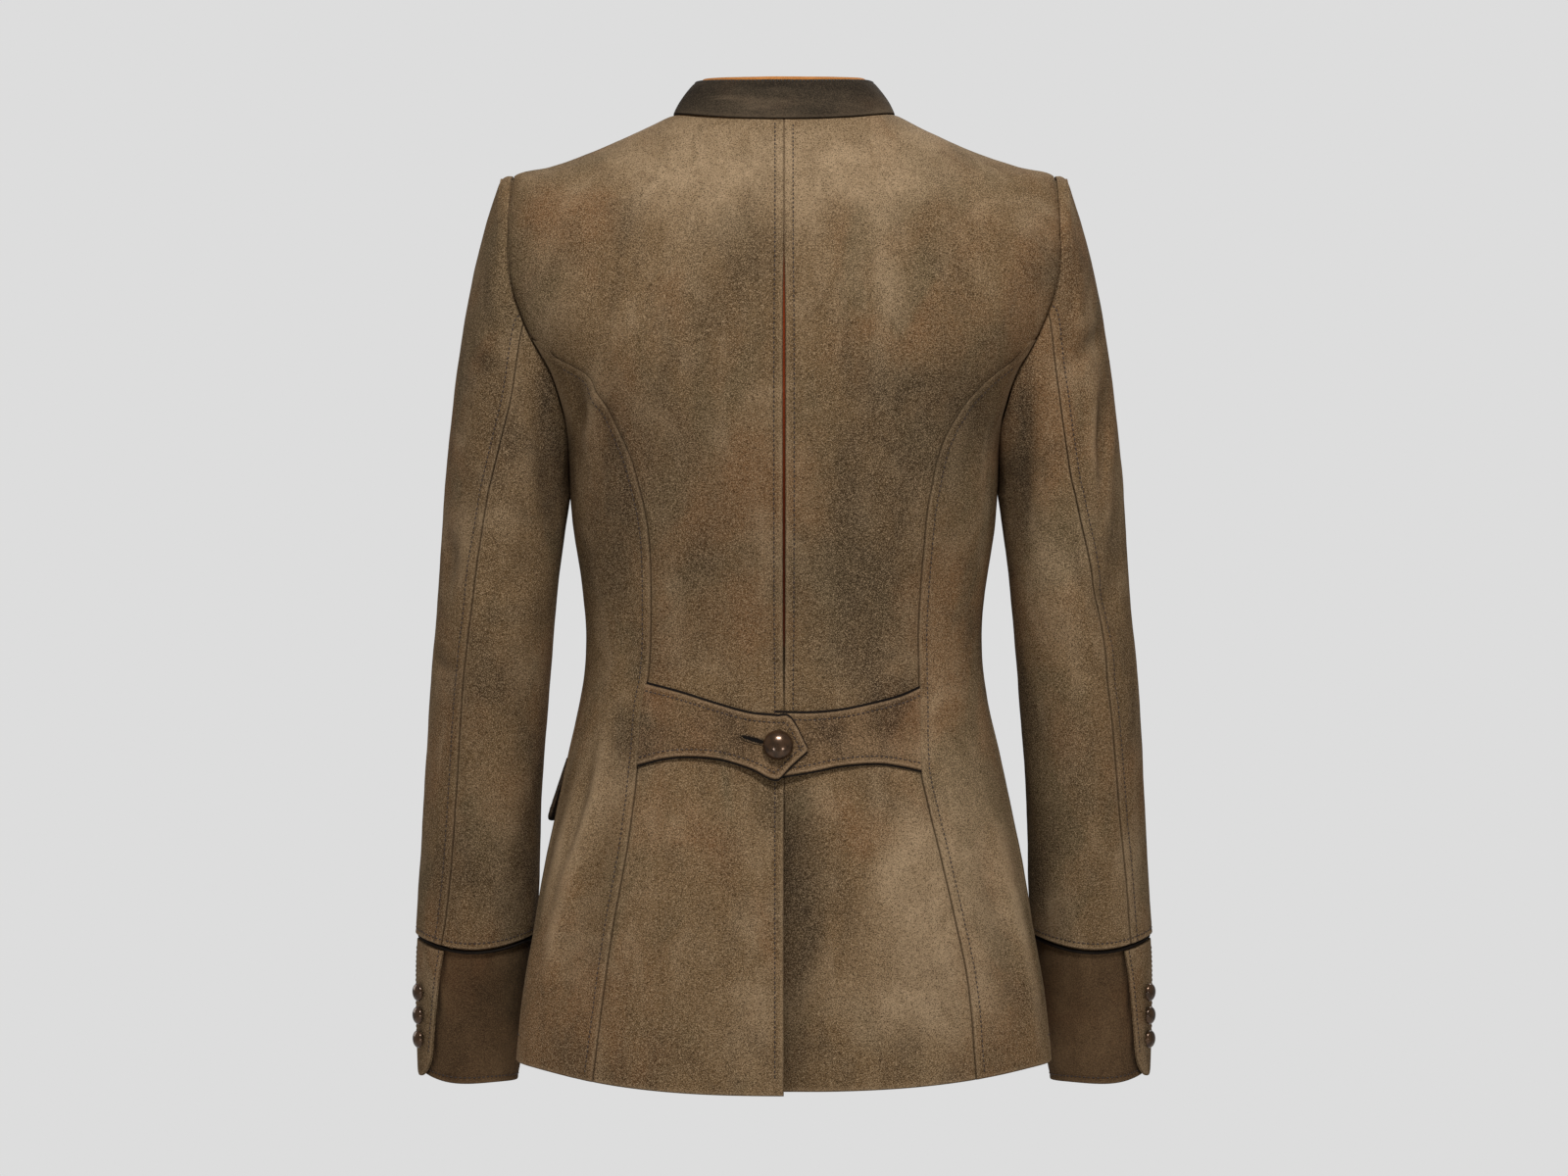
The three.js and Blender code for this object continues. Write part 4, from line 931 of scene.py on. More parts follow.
def steadied(bound, drop):
    return sum(bound(drop + step) for step in STEADY) / len(STEADY)


def panel_rows(top):
    """Drops of the rows with the share of the hem's stretch that each is down, finer where seams turn."""
    parts = ((NECK_DROP, 100), (100, 126, 1.6), (126, 166), (166, 202, 1.0), (202, HEM_FROM))
    drops = np.unique(np.concatenate([spaced(*part) for part in parts]).round(4))
    drops = drops[drops > top + NEAR_EDGE[-1] + 0.1]
    drops = np.concatenate([top + NEAR_EDGE, drops])
    last = HEM_DROP["side"] - HEM_FROM
    shares = np.concatenate([spaced(0, last - 9)[1:], last - NEAR_EDGE[::-1]]) / last
    return np.concatenate([drops, HEM_FROM + shares * last]), np.concatenate([np.zeros(len(drops)), shares])


def width_between(surface, first, last, rows, count=15):
    """Width of each row of a surface between two bounds, measured in a few steps."""
    between = mix(first[:, None], last[:, None], np.linspace(0, 1, count))
    return run_lengths(surface(between, rows[:, None]), 1)


def body_grid(side, first, last, top, steps, settled=7):
    """Places of a body panel between two bounds given as angles at a drop."""
    rows, shares = panel_rows(top)
    bound = [np.array([f(d) for d in rows]) for f in (first, last)]
    calm = [np.array([steadied(f, d) for d in rows])[:, None] for f in (first, last)]
    u = shares_across(np.maximum(width_between(body_point, *bound, rows), 0.5), steps)
    inside = smooth(0, 1 / settled, u) * smooth(0, 1 / settled, 1 - u)
    angle = mix(mix(bound[0][:, None], bound[1][:, None], u), mix(*calm, u), inside)
    down = mix(HEM_FROM, hem_drop(side, angle), shares[:, None])
    drop = np.where(shares[:, None] > 0, down, rows[:, None])
    return on_body(angle, drop)


PLEAT_SLIT = table("drop half", [(60, 0.15), (92, 0.2), (150, 0.75), (260, 0.8), (350, 0.6), (395, 0.15)])
SLIT_LIPS = {"from": (96, 112), "to": (392, 410), "raise": 0.45}
VENT = {
    "top": 440, "full": 488, "wide": 520, "underlap": 26, "fade": 34, "sink": 2.6, "raise": 0.6,
    "hollow": 5.0, "hollow_x": 3, "hollow_spread": 13, "edge_lift": 2.0, "edge_fade": 22,
    # painted shade on the under panel beside the vent: how dark and how wide
    "shades": ((0.42, 6), (0.2, 20)),
}
SEAM_STITCH = 6.0  # from a seam to its line of stitches
HEM_STITCH = 18  # from the fronts' hem to theirs
SIDE_EDGE_PAINTED_LIGHT = {"worn": 0.7, "width": 13, "drops": (240, 270)}  # painted light on the side panels along the armhole, against the shade that the sleeves throw there
STITCHED = {"back": (8, 655), "vent": (8, 425), "side": (176, 655), "front": (60, 640), "tongue": (575, 652)}


def back_panel(name, side):
    under = side < 0

    def centre(drop):
        lap = 0
        if under:
            lap = VENT["underlap"] * np.clip((drop - VENT["full"]) / (VENT["wide"] - VENT["full"]), 0, 1)
        return angle_at_back(-lap if lap > 0 else column(PLEAT_SLIT, "half", drop), drop)

    def outer(drop):
        if drop <= SHOULDER_DROP:
            return math.pi / 2
        return armhole_back_angle(drop) if drop < PRINCESS_DROP else princess_angle(side, drop)

    def parted(points):
        return smooth(VENT["top"] + 5, VENT["full"] + 15, -points[..., 2])

    points, normals = body_grid(side, centre, outer, NECK_DROP, 42)
    x = points[..., 0]
    opened = smooth(VENT["top"], VENT["full"], -points[..., 2])
    lift = opened * (1 - smooth(0, VENT["fade"], x)) * (-VENT["sink"] if under else VENT["raise"])
    if under:
        lift -= VENT["hollow"] * parted(points) * bell(x - VENT["hollow_x"], VENT["hollow_spread"])
    else:
        lift += VENT["edge_lift"] * parted(points) * (1 - smooth(0, VENT["edge_fade"], x))
    cut = Cut(f"back_{name}", points + normals * lift[..., None], normals, side=side)
    cut.inset(last=SEAM_GAP / 2)
    down = -cut.points[..., 2]
    far = cut.far_from("first")
    on_slit = smooth(*SLIT_LIPS["from"], down) * (1 - smooth(*SLIT_LIPS["to"], down))
    on_vent = parted(cut.points)
    cut.fold(FOLDS).roll(mix(0.3, 1.1, np.maximum(on_slit, on_vent)), "first")
    cut.roll(0.65, "last", "top", worn=0.15, dark=0.6).roll(1.1, "bottom").sink(0.5, "last", "top")
    cut.out += SLIT_LIPS["raise"] * on_slit * (1 - smooth(4, 9, far))
    # Painted shade on the under panel beside the upper panel's edge in the vent
    if under:
        shade = sum(dark * bell(cut.points[..., 0], spread) for dark, spread in VENT["shades"])
        cut.dark = np.maximum(cut.dark, on_vent * shade)
    cut.channel(SEAM_STITCH, "first", seed=21 if under else 22)
    add_cut(cut, SUEDE, cut.line_at("first", SEAM_STITCH, *STITCHED["vent" if under else "back"]))
    allowance(cut, "last", "top")


def side_panel(name, side):
    def first(drop):
        return princess_angle(side, drop)

    def last(drop):
        return armhole_back_angle(drop) if drop < UNDERARM_DROP else side_seam_angle(drop)

    points, normals = body_grid(side, first, last, SIDE_PANEL_DROP, 24)
    cut = Cut(f"side_{name}", points, normals, side=side)
    cut.inset(first=SEAM_GAP / 2, last=SEAM_GAP / 2)
    down = -cut.points[..., 2]
    cut.fold(FOLDS).roll(0.8, "first", worn=0.42, dark=0.42).roll(0.8, "last", worn=0.6, dark=0.1)
    # Painted light on the side panel along its armhole edge
    painted_edge_light = (1 - smooth(0, SIDE_EDGE_PAINTED_LIGHT["width"], cut.far_from("last"))) * (1 - smooth(*SIDE_EDGE_PAINTED_LIGHT["drops"], down))
    cut.worn = np.maximum(cut.worn, SIDE_EDGE_PAINTED_LIGHT["worn"] * painted_edge_light)
    cut.roll(1.1, "bottom").lap(0.4, "first")
    cut.channel(SEAM_STITCH, "first", seed=31 + side)
    cut.sink(0.4, "last")
    add_cut(cut, SUEDE, cut.line_at("first", SEAM_STITCH, *STITCHED["side"]))
    allowance(cut, "last")


CLOSING = {"edge": -18, "fade_from": 26, "fade_to": 62, "raise": 2.5}


def front_panel(name, side):
    def first(drop):
        if drop <= SHOULDER_DROP:
            return math.pi / 2
        return armhole_front_angle(drop) if drop < UNDERARM_DROP else side_seam_angle(drop)

    def last(drop):
        return angle_at_front(CLOSING["edge"], drop)

    points, normals = body_grid(side, first, last, NECK_DROP, 60)
    near = 1 - smooth(CLOSING["fade_from"], CLOSING["fade_to"], points[..., 0])
    lift = near * CLOSING["raise"] if side < 0 else np.zeros(points.shape[:-1])
    cut = Cut(f"front_{name}", points + normals * lift[..., None], normals, side=side)
    cut.inset(first=SEAM_GAP / 2)
    cut.fold(FOLDS, 0.8 * smooth(0, 40, np.abs(cut.points[..., 0])))
    cut.roll(1.1, "first", "last", "top", "bottom")
    cut.sink(0.4, "first", "top").channel(SEAM_STITCH, "last", seed=41)
    add_cut(
        cut, SUEDE, cut.line_at("last", SEAM_STITCH, *STITCHED["front"]), cut.line_at("bottom", HEM_STITCH)
    )
    allowance(cut, "first", "top")


for name, side in SIDES.items():
    back_panel(name, side)
    side_panel(name, side)
    front_panel(name, side)


UNDERLAY = {
    "top": 5, "bottom": 366, "stay": 4, "half": 24, "widen_from": 105, "widen_to": 150, "thickness": 1.5
}


def pleat_underlay():
    rows = spaced(UNDERLAY["top"], UNDERLAY["bottom"])[:, None]
    widened = smooth(UNDERLAY["widen_from"], UNDERLAY["widen_to"], rows)
    half = mix(UNDERLAY["stay"], UNDERLAY["half"], widened)
    points, normals = on_back(half * np.linspace(-1, 1, 17)[None, :], rows)
    cut = Cut("pleat_underlay", points, normals, UNDERLAY["thickness"])
    cut.raise_by(-HIDE - SEAM_GAP).fold(FOLDS)
    down = -cut.points[..., 2]
    # Painted shade of the narrow slit on the underlay: near black above it, darker again from 160 to 290
    # down
    cut.dark = 1 - smooth(96, 106, down) * (1 - 0.85 * smooth(160, 290, down))
    add_cut(cut, RUST_CLOTH)


pleat_underlay()


# Collar and its facing

COLLAR_TOP = {
    "half": 60.3, "back": 46, "front": 57, "back_rise": 23.6, "side_rise": 26, "front_rise": -27,
    "length": 36.0,
}
COLLAR_BOW = 2
COLLAR_END = 179.2 * DEGREE
FACING = {"thickness": 1.1, "rise": 0.035, "worn_rise": 0.065}


def shares_down(length, whole=1.0, steps=9):
    """Shares of a narrow piece's length, close together near both of its ends."""
    near = NEAR_EDGE[NEAR_EDGE < 7] / length
    between = np.linspace(near[-1], whole - near[-1], steps)[1:-1]
    return np.concatenate([near, between, whole - near[::-1]])[:, None]


def collar_point(angle, rise):
    behind = np.cos(angle) >= 0
    power = mix(BACK_POWER, 0.9, rise)
    centre_rise = np.where(behind, COLLAR_TOP["back_rise"], COLLAR_TOP["front_rise"])
    top = stacked(
        COLLAR_TOP["half"] * signed_power(np.sin(angle), power),
        np.where(behind, COLLAR_TOP["back"], COLLAR_TOP["front"]) * signed_power(np.cos(angle), power),
        mix(COLLAR_TOP["side_rise"], centre_rise, np.cos(angle) ** 2),
    )
    foot = body_point(angle, np.full(np.shape(angle), NECK_DROP))
    bow = COLLAR_BOW * 4 * rise * (1 - rise)
    bowed = stacked(np.sin(angle) * bow, np.cos(angle) * bow, 0 * bow)
    return mix(foot, top, np.asarray(rise)[..., None]) + bowed


def collar_cut(name, highest, thickness, lift):
    angle = np.linspace(-COLLAR_END, COLLAR_END, 241)[None, :]
    rise = shares_down(COLLAR_TOP["length"], highest)
    foot = mix(0.012, 0.05, smooth(0.3, 0.9, -np.cos(angle)))
    angle, rise = np.broadcast_arrays(angle, foot + rise * (highest - foot) / highest)
    towards = stacked(np.sin(angle), np.cos(angle), 0 * angle)
    points = collar_point(angle, rise)
    cut = Cut(name, points, normal_of(collar_point, angle, rise, 0.004, 0.01, towards), thickness)
    return cut.raise_by(lift)


COLLAR_FOLDS = [
    crease(-0.8, 2.6, (58, -6), (20, -3), (-24, -5), (-52, -9)),
    crease(0.7, 2.4, (44, -14), (6, -12), (-30, -15)),
    crease(-0.7, 3, (50, 8), (28, 22), (6, 28), face=-1),
]
collar = collar_cut("collar", 0.975, HIDE, 0.0)
collar.fold(COLLAR_FOLDS, 0.6).roll(0.9, "top", "bottom", "first", "last")
collar.channel(1.7, "bottom", seed=51)
add_cut(collar, DARK_SUEDE, collar.line_at("bottom", 1.5), thread=DARK_THREAD, stitch=RIM_STITCH)
highest = 1.0 + FACING["rise"] + FACING["worn_rise"]
facing = collar_cut("collar_facing", highest, FACING["thickness"], -HIDE - SEAM_GAP)
facing.fold([], 0.5).roll(0.5, "bottom")
add_cut(facing, TAN_LEATHER)


# Sleeves

SLEEVE = table(
    "drop outer inner back front",
    [
        (262, 236, 148.8, 54, -60), (299, 238.4, 153.7, 52, -57), (340, 241.1, 158.1, 50, -54),
        (381, 244.8, 161.5, 47, -52), (422, 247.4, 164.8, 42, -53), (462, 250.4, 167.8, 36, -57),
        (503, 252.9, 169.8, 29, -62), (544, 255.5, 171, 22, -67), (590, 259.6, 172.5, 14, -72),
    ],
)
CUFF = table(
    "drop outer inner back front",
    [
        (550, 252.4, 174.6, 17.4, -64.2), (590, 254.8, 176, 10.4, -68.8), (640, 255, 182, 2, -75),
        (680, 254, 188.4, -3, -80),
    ],
)
SLEEVE_TOP_DROP = 262
SLEEVE_LAST_DROP = 590
SLEEVE_EDGE = {"outer": 566.5, "inner": 566.5, "back": 576}
CUFF_TOP_DROP = 556
CUFF_EDGE = {"outer": 663, "inner": 670.5, "back": 670.5}
HEAD_ROLL = {"out": np.array([2.4, 0, 0.8]), "place": 0.08, "spread": 0.06}
SLEEVE_BACK_SEAM = table(
    "place left right",
    [
        (0, -7, -2), (0.25, -8, -5), (0.5, -5, -3), (0.75, 4, 2), (1, 14, 9), (1.25, 21, 24),
        (1.45, 23.6, 28), (1.65, 23, 30), (1.8, 25.5, 35), (2, 32, 37),
    ],
)
FRONT_SEAM_TURN = -122 * DEGREE


def armhole_edge(angle_at, count=80):
    """The armhole's edge from the shoulder tip down to the underarm, with the length run so far."""
    drop = mix(SHOULDER_DROP, UNDERARM_DROP, (np.arange(count + 1) / count) ** 1.6)
    points = body_point(np.array([angle_at(d) for d in drop]), drop)
    run = np.concatenate([[0], np.cumsum(np.linalg.norm(np.diff(points, axis=0), axis=-1))])
    return run, points


ARMHOLE_EDGES = {"back": armhole_edge(armhole_back_angle), "front": armhole_edge(armhole_front_angle)}


def armhole_point(turn):
    wrapped = np.arctan2(np.sin(turn), np.cos(turn))
    from_top = np.arccos(np.clip(np.sin(wrapped), -1, 1)) / math.pi
    found = []
    for run, points in (ARMHOLE_EDGES["back"], ARMHOLE_EDGES["front"]):
        found.append(stacked(*(np.interp(from_top * run[-1], run, points[:, k]) for k in range(3))))
    return np.where((np.cos(wrapped) >= 0)[..., None], found[0], found[1])


def tube_point(rows, turn, drop):
    def at(name):
        return column(rows, name, drop)

    return stacked(
        mix(at("inner"), at("outer"), (1 + np.sin(turn)) / 2),
        mix(at("front"), at("back"), (1 + np.cos(turn)) / 2),
        -drop,
    )


CAP = {"out": (34, 32), "down": 75, "under": 20, "over": -4, "end_out": (6, 5), "end_share": 0.92}


def sleeve_point(turn, place):
    """Places 0 to 1 are the cap, from the armhole to the first level section, and 1 to 2 the tube."""
    turn, place = np.broadcast_arrays(np.asarray(turn, float), np.asarray(place, float))
    tube = tube_point(SLEEVE, turn, mix(SLEEVE_TOP_DROP, SLEEVE_LAST_DROP, np.maximum(place, 1) - 1))
    start = armhole_point(turn)
    end = tube_point(SLEEVE, turn, np.full(turn.shape, float(SLEEVE_TOP_DROP)))
    rise = np.sin(turn)
    level = np.cos(turn) ** 2
    steep = np.where(rise > 0, CAP["over"], CAP["under"]) * (1 - level)
    leaving = stacked(CAP["out"][0] + CAP["out"][1] * rise, 0 * rise, -CAP["down"] * level - steep)
    fall = (end[..., 2] - start[..., 2]) * CAP["end_share"]
    arriving = stacked(CAP["end_out"][0] + CAP["end_out"][1] * rise, 0 * rise, fall)
    t = np.minimum(place, 1)[..., None]
    rolled_out = bell(t - HEAD_ROLL["place"], HEAD_ROLL["spread"]) * np.minimum(t * 30, 1)
    rolled_out = np.maximum(rise, 0)[..., None] * rolled_out
    cap = (
        start * (2 * t**3 - 3 * t**2 + 1)
        + leaving * (t**3 - 2 * t**2 + t)
        + end * (3 * t**2 - 2 * t**3)
        + arriving * (t**3 - t**2)
        + HEAD_ROLL["out"] * rolled_out
    )
    return np.where((place >= 1)[..., None], tube, cap)


def place_of_drop(drop):
    return 1 + (drop - SLEEVE_TOP_DROP) / (SLEEVE_LAST_DROP - SLEEVE_TOP_DROP)


def edge_drop(edge, turn):
    level = mix(edge["inner"], edge["outer"], (1 + np.sin(turn)) / 2)
    return mix(level, edge["back"], np.maximum(np.cos(turn), 0) ** 2)


SLEEVE_FOLDS = [
    # wearer's right: a short slanted crease below the head, and the long elbow crease with its ridge
    crease(-3.4, 4.2, (-226, 142), (-216, 154), (-204, 167), (-196, 176)),
    crease(-1.8, 3.6, (-190, 150), (-197, 158), (-204, 166)),
    crease(1.6, 5.5, (-204, 138), (-201, 146), (-196, 153)),
    crease(0.9, 2.6, (-201, 98), (-202, 120), (-202, 144)),
    crease(-4.6, 4.4, (-221, 182), (-219.5, 225), (-219, 272)),
    crease(3.3, 2.8, (-213.5, 180), (-211, 226), (-217, 276)),
    crease(3.0, 2.6, (-228, 196), (-223, 250), (-221, 296)),
    crease(-2.8, 5, (-228, 304), (-222, 334), (-229, 366)),
    crease(-2.2, 6, (-190, 300), (-206, 322), (-232, 338)),
    crease(-1.8, 7, (-186, 352), (-204, 380), (-236, 398)),
    # wearer's left: creases at the outer edge of the elbow and a small notch below them
    crease(-3.2, 4, (232, 284), (229, 308), (235, 332)),
    crease(1.8, 6, (223, 276), (219, 306), (223, 338)),
    crease(-2.6, 4, (245, 368), (236, 380), (226, 386)),
    crease(-2.2, 7, (168, 300), (184, 322), (206, 334)),
    crease(-2.4, 5, (204, 118), (204, 140), (199, 160)),
    crease(-2.6, 6, (220, 168), (208, 174), (194, 178)),
    crease(-2.6, 5, (186, 262), (178, 280), (164, 292)),
    # hollow below each cap, near the armhole
    crease(-4.6, 7.5, (172, 178), (164, 210), (161, 246), (161, 290)),
    crease(-4.6, 7.5, (-172, 184), (-165, 214), (-162, 250), (-161, 296)),
    # the inside of each elbow, seen from the front
    crease(-2.4, 5, (238, 300), (210, 318), (182, 326), face=-1),
    crease(-2.0, 6, (236, 336), (208, 346), (180, 348), face=-1),
    crease(-1.6, 6, (234, 268), (206, 282), (184, 296), face=-1),
    crease(-2.3, 5, (-238, 304), (-212, 322), (-184, 328), face=-1),
    crease(-1.9, 6, (-236, 340), (-208, 352), (-182, 352), face=-1),
    crease(-1.5, 6, (-232, 270), (-206, 286), (-182, 298), face=-1),
    crease(-1.5, 6, (220, 150), (204, 176), (180, 200), face=-1),
    crease(-1.4, 6, (-220, 154), (-204, 178), (-182, 204), face=-1),
]


# Below the underarm the sleeve swells to meet the body
UNDERARM_EASE = {"out": 2.2, "drop": 228, "spread": 12}

TUBE_END = 1.9  # the place below which a sleeve's rows spread out towards its slanted edge


def sleeve_cut(node, side, start, end, steps):
    """A sleeve part between two turns given at each place."""
    near_top = [0.004, 0.008, 0.014, 0.022, 0.034, 0.05, 0.07]
    places = np.concatenate([near_top, np.arange(0.09, 1, 0.0165), np.arange(1, TUBE_END, 0.0095)])
    last_part = 1.0 - np.concatenate([np.linspace(1, 0.24, 6)[:-1], NEAR_EDGE[::-1] / 36])
    place_rows = np.concatenate([places, TUBE_END + 0 * last_part])
    shares = np.concatenate([0 * places, last_part])
    nominal = np.where(shares > 0, mix(TUBE_END, 2.0, shares), place_rows)
    bound = [np.array([f(p) for p in nominal]) for f in (start, end)]
    width = width_between(sleeve_point, *bound, place_rows)
    turn = mix(bound[0][:, None], bound[1][:, None], shares_across(width, steps))
    down = mix(TUBE_END, place_of_drop(edge_drop(SLEEVE_EDGE, turn)), shares[:, None])
    place = np.where(shares[:, None] > 0, down, place_rows[:, None])
    points = sleeve_point(turn, place)
    centre = (points + sleeve_point(turn + math.pi, place)) / 2
    normals = normal_of(sleeve_point, turn, place, 0.01, 0.002, points - centre)
    return Cut(node, points, normals, side=side)


SLEEVE_STITCH = 4.2  # from a sleeve's lower edge to its line of stitches


def dress_sleeve(name, side):
    def back_seam(place):
        return column(SLEEVE_BACK_SEAM, name, place) * DEGREE

    upper = sleeve_cut(
        f"sleeve_upper_{name}", side, back_seam, lambda place: FRONT_SEAM_TURN + 2 * math.pi, 70
    )
    under = sleeve_cut(f"sleeve_under_{name}", side, lambda place: FRONT_SEAM_TURN, back_seam, 50)
    for cut in (upper, under):
        cut.inset(top=SEAM_GAP / 2, first=SEAM_GAP / 2, last=SEAM_GAP / 2)
        cut.fold(SLEEVE_FOLDS, smooth(0, 25, distance_from(cut.points, cut.points[0]))).roll(0.9, "bottom")
        cut.roll(0.8, "first", "last", worn=0.35, dark=0.5, seam_dark_spread=0.4)
        cut.roll(0.4, "top", worn=0.1, dark=0.42, seam_dark_spread=0.38).channel(SLEEVE_STITCH, "bottom", seed=61)
        eased = bell(-cut.points[..., 2] - UNDERARM_EASE["drop"], UNDERARM_EASE["spread"])
        cut.out += UNDERARM_EASE["out"] * eased * smooth(0.3, 0.9, -side * cut.normals[..., 0])
    upper.lap(0.35, "first").channel(SEAM_STITCH, "first", seed=63)
    under.sink(0.4, "last")
    add_cut(upper, SUEDE, upper.line_at("first", SEAM_STITCH), upper.line_at("bottom", SLEEVE_STITCH))
    add_cut(under, SUEDE, under.line_at("bottom", SLEEVE_STITCH))
    allowance(upper, "top", reach=1.4)
    allowance(under, "top", reach=1.4)
    allowance(under, "first", "last")


CUFF_SLIT = {"turn": 66, "half": 3}


def cuff_point(turn, drop):
    return tube_point(CUFF, turn, drop)


def on_cuff(turn, drop):
    turn, drop = np.broadcast_arrays(np.asarray(turn, float), np.asarray(drop, float))
    towards = stacked(np.sin(turn), np.cos(turn), 0)
    return cuff_point(turn, drop), normal_of(cuff_point, turn, drop, 0.01, 0.5, towards)


CUFF_FOLDS = [
    crease(-0.7, 8, (186, 600), (206, 612), (226, 618)),
    crease(-0.7, 8, (-188, 606), (-208, 620), (-228, 632)),
]


TONGUE = {
    "top": 570, "bottom": 666.5, "below": 3.8, "top_turns": (31, 94), "bottom_turns": (46, 94), "round": 16,
    "thickness": 1.8, "stitch": 3.2,
}
TONGUE_STRAIGHT = TONGUE["bottom"] - TONGUE["round"]
TONGUE_LIFT = LAY_GAP + TONGUE["thickness"]


def tongue_bounds(drop):
    along = (drop - TONGUE["top"]) / (TONGUE["bottom"] - TONGUE["top"])
    turns = [mix(top, bottom, along) for top, bottom in zip(TONGUE["top_turns"], TONGUE["bottom_turns"])]
    into = np.maximum(0, np.minimum(drop, TONGUE["bottom"]) - TONGUE_STRAIGHT) / TONGUE["round"]
    keep = np.sqrt(np.maximum(0, 1 - into**2))
    middle = sum(turns) / 2
    return [mix(middle, turn, np.maximum(keep, 0.06)) * DEGREE for turn in turns]


CUFF_HALF = 40  # about half of a cuff's width
CUFF_LENGTH = 111.0
CUFF_ROUND = 225.0
CUFF_STITCH = 4.5


def cuff(name, side):
    start = (CUFF_SLIT["turn"] + CUFF_SLIT["half"]) * DEGREE
    end = (CUFF_SLIT["turn"] - CUFF_SLIT["half"] + 360) * DEGREE
    turn = mix(start, end, shares_across([CUFF_ROUND], 70))
    lowest = edge_drop(CUFF_EDGE, turn)
    down = np.concatenate([spaced(0, CUFF_LENGTH - 9), CUFF_LENGTH - NEAR_EDGE[::-1]])[:, None] / CUFF_LENGTH
    points, normals = on_cuff(turn, mix(CUFF_TOP_DROP, lowest, down))
    cut = Cut(f"cuff_{name}", points, normals, side=side)
    cut.fold(CUFF_FOLDS, 0.4).roll(1.0, "first", "last", "bottom").channel(CUFF_STITCH, "bottom", seed=71)
    # Painted shadow of the tongue's edge on the cuff: a thin dark line with soft shade beside it
    from_tongue = (turn - 2 * math.pi - tongue_bounds(-points[..., 2])[0]) * CUFF_HALF
    cut.dark = np.maximum(cut.dark, 0.95 * bell(from_tongue + 0.8, 1.3) + 0.2 * bell(from_tongue, 6))
    add_cut(cut, CUFF_SUEDE, cut.line_at("bottom", CUFF_STITCH))


PIPING = {"below": 0.7, "height": 2.4, "thickness": 1.5}


def cuff_piping(name, side):
    turn = np.linspace(-270 * DEGREE, 89.6 * DEGREE, 121)[None, :]
    share = np.array([0, 0.06, 0.16, 0.3, 0.5, 0.7, 0.84, 0.94, 1])[:, None]
    below = PIPING["below"] + PIPING["height"] * share
    points, normals = on_cuff(turn, edge_drop(SLEEVE_EDGE, turn) + below)
    cut = Cut(f"cuff_piping_{name}", points, normals, PIPING["thickness"], side)
    cut.raise_by(LAY_GAP + PIPING["thickness"]).roll(1.1, "top", "bottom")
    add_cut(cut, BLACK_EDGE)


def cuff_tongue(name, side):
    ends = TONGUE_STRAIGHT + TONGUE["round"] * np.sin(np.linspace(0, math.pi / 2, 15))
    even = spaced(TONGUE["top"] + 11, TONGUE_STRAIGHT)[:-1]
    rows = np.concatenate([TONGUE["top"] + NEAR_EDGE, even, ends])
    first, last = (np.array([tongue_bounds(r)[k] for r in rows]) for k in (0, 1))
    width = width_between(cuff_point, first, last, rows, 9)
    turn = mix(first[:, None], last[:, None], shares_across(np.maximum(width, 0.5), 8))
    near_top = 1 - smooth(TONGUE["top"], TONGUE["top"] + 30, rows[:, None])
    slant = edge_drop(SLEEVE_EDGE, turn) + TONGUE["below"] - TONGUE["top"]
    points, normals = on_cuff(turn, rows[:, None] + slant * near_top)
    cut = Cut(f"cuff_tongue_{name}", points, normals, TONGUE["thickness"], side)
    cut.raise_by(TONGUE_LIFT).roll(0.9, "first", "last", "top")
    cut.out -= rolled(cut.far_from("bottom"), 0.9)
    lines = [cut.line_at(edge, TONGUE["stitch"], *STITCHED["tongue"]) for edge in ("first", "last")]
    add_cut(cut, SUEDE, *lines)


# Domed buttons

DOME = {"belt": (10.3, 9.4), "cuff": (6.2, 5.8)}
SHANK_HEIGHT = 1.2


def dome(node, size, place, way, lift):
    """A polished dome on a short shank, with a rolled rim."""
    radius, height = DOME[size]
    profile = [(0, 0), (radius * 0.3, 0), (radius * 0.3, SHANK_HEIGHT), (radius * 0.8, SHANK_HEIGHT + 0.35)]
    profile += [(radius * 0.93, SHANK_HEIGHT + 0.55), (radius * 0.985, SHANK_HEIGHT + 0.95)]
    over, around = 14, 40
    foot = SHANK_HEIGHT + 1.3
    for k in range(over + 1):
        rise = k / over * math.pi / 2
        profile.append((radius * math.cos(rise), foot + (height - foot) * math.sin(rise)))
    up = Vector(way)
    turned = Vector((0, 0, 1)).rotation_difference(up).to_matrix()
    start = Vector(place) + up * (lift + SEAM_GAP)
    vertices = []
    for radius_here, height_here in profile[1:-1]:
        for k in range(around):
            angle = 2 * math.pi * k / around
            spot = Vector((radius_here * math.cos(angle), radius_here * math.sin(angle), height_here))
            vertices.append((start + turned @ spot) * METRE)
    top = len(vertices)
    vertices.append((start + up * profile[-1][1]) * METRE)
    faces = tube_faces(0, len(profile) - 2, around)
    faces.append(tuple(reversed(range(around))))
    for k in range(around):
        faces.append((top - around + k, top - around + (k + 1) % around, top))
    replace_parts(make_object(node + "_dome", vertices, faces, BUTTON, sharp=40), node)


CUFF_BUTTON = {"turn": 60.5, "drops": (607, 623.3, 640)}
for name, side in SIDES.items():
    dress_sleeve(name, side)
    cuff(name, side)
    cuff_piping(name, side)
    cuff_tongue(name, side)
    for k, drop in enumerate(CUFF_BUTTON["drops"]):
        place, way = on_cuff(CUFF_BUTTON["turn"] * DEGREE, drop)
        mirror = np.array([side, 1, 1])
        dome(f"cuff_button_{name}_{k + 1}", "cuff", place * mirror, way * mirror, TONGUE_LIFT)


# Half belt

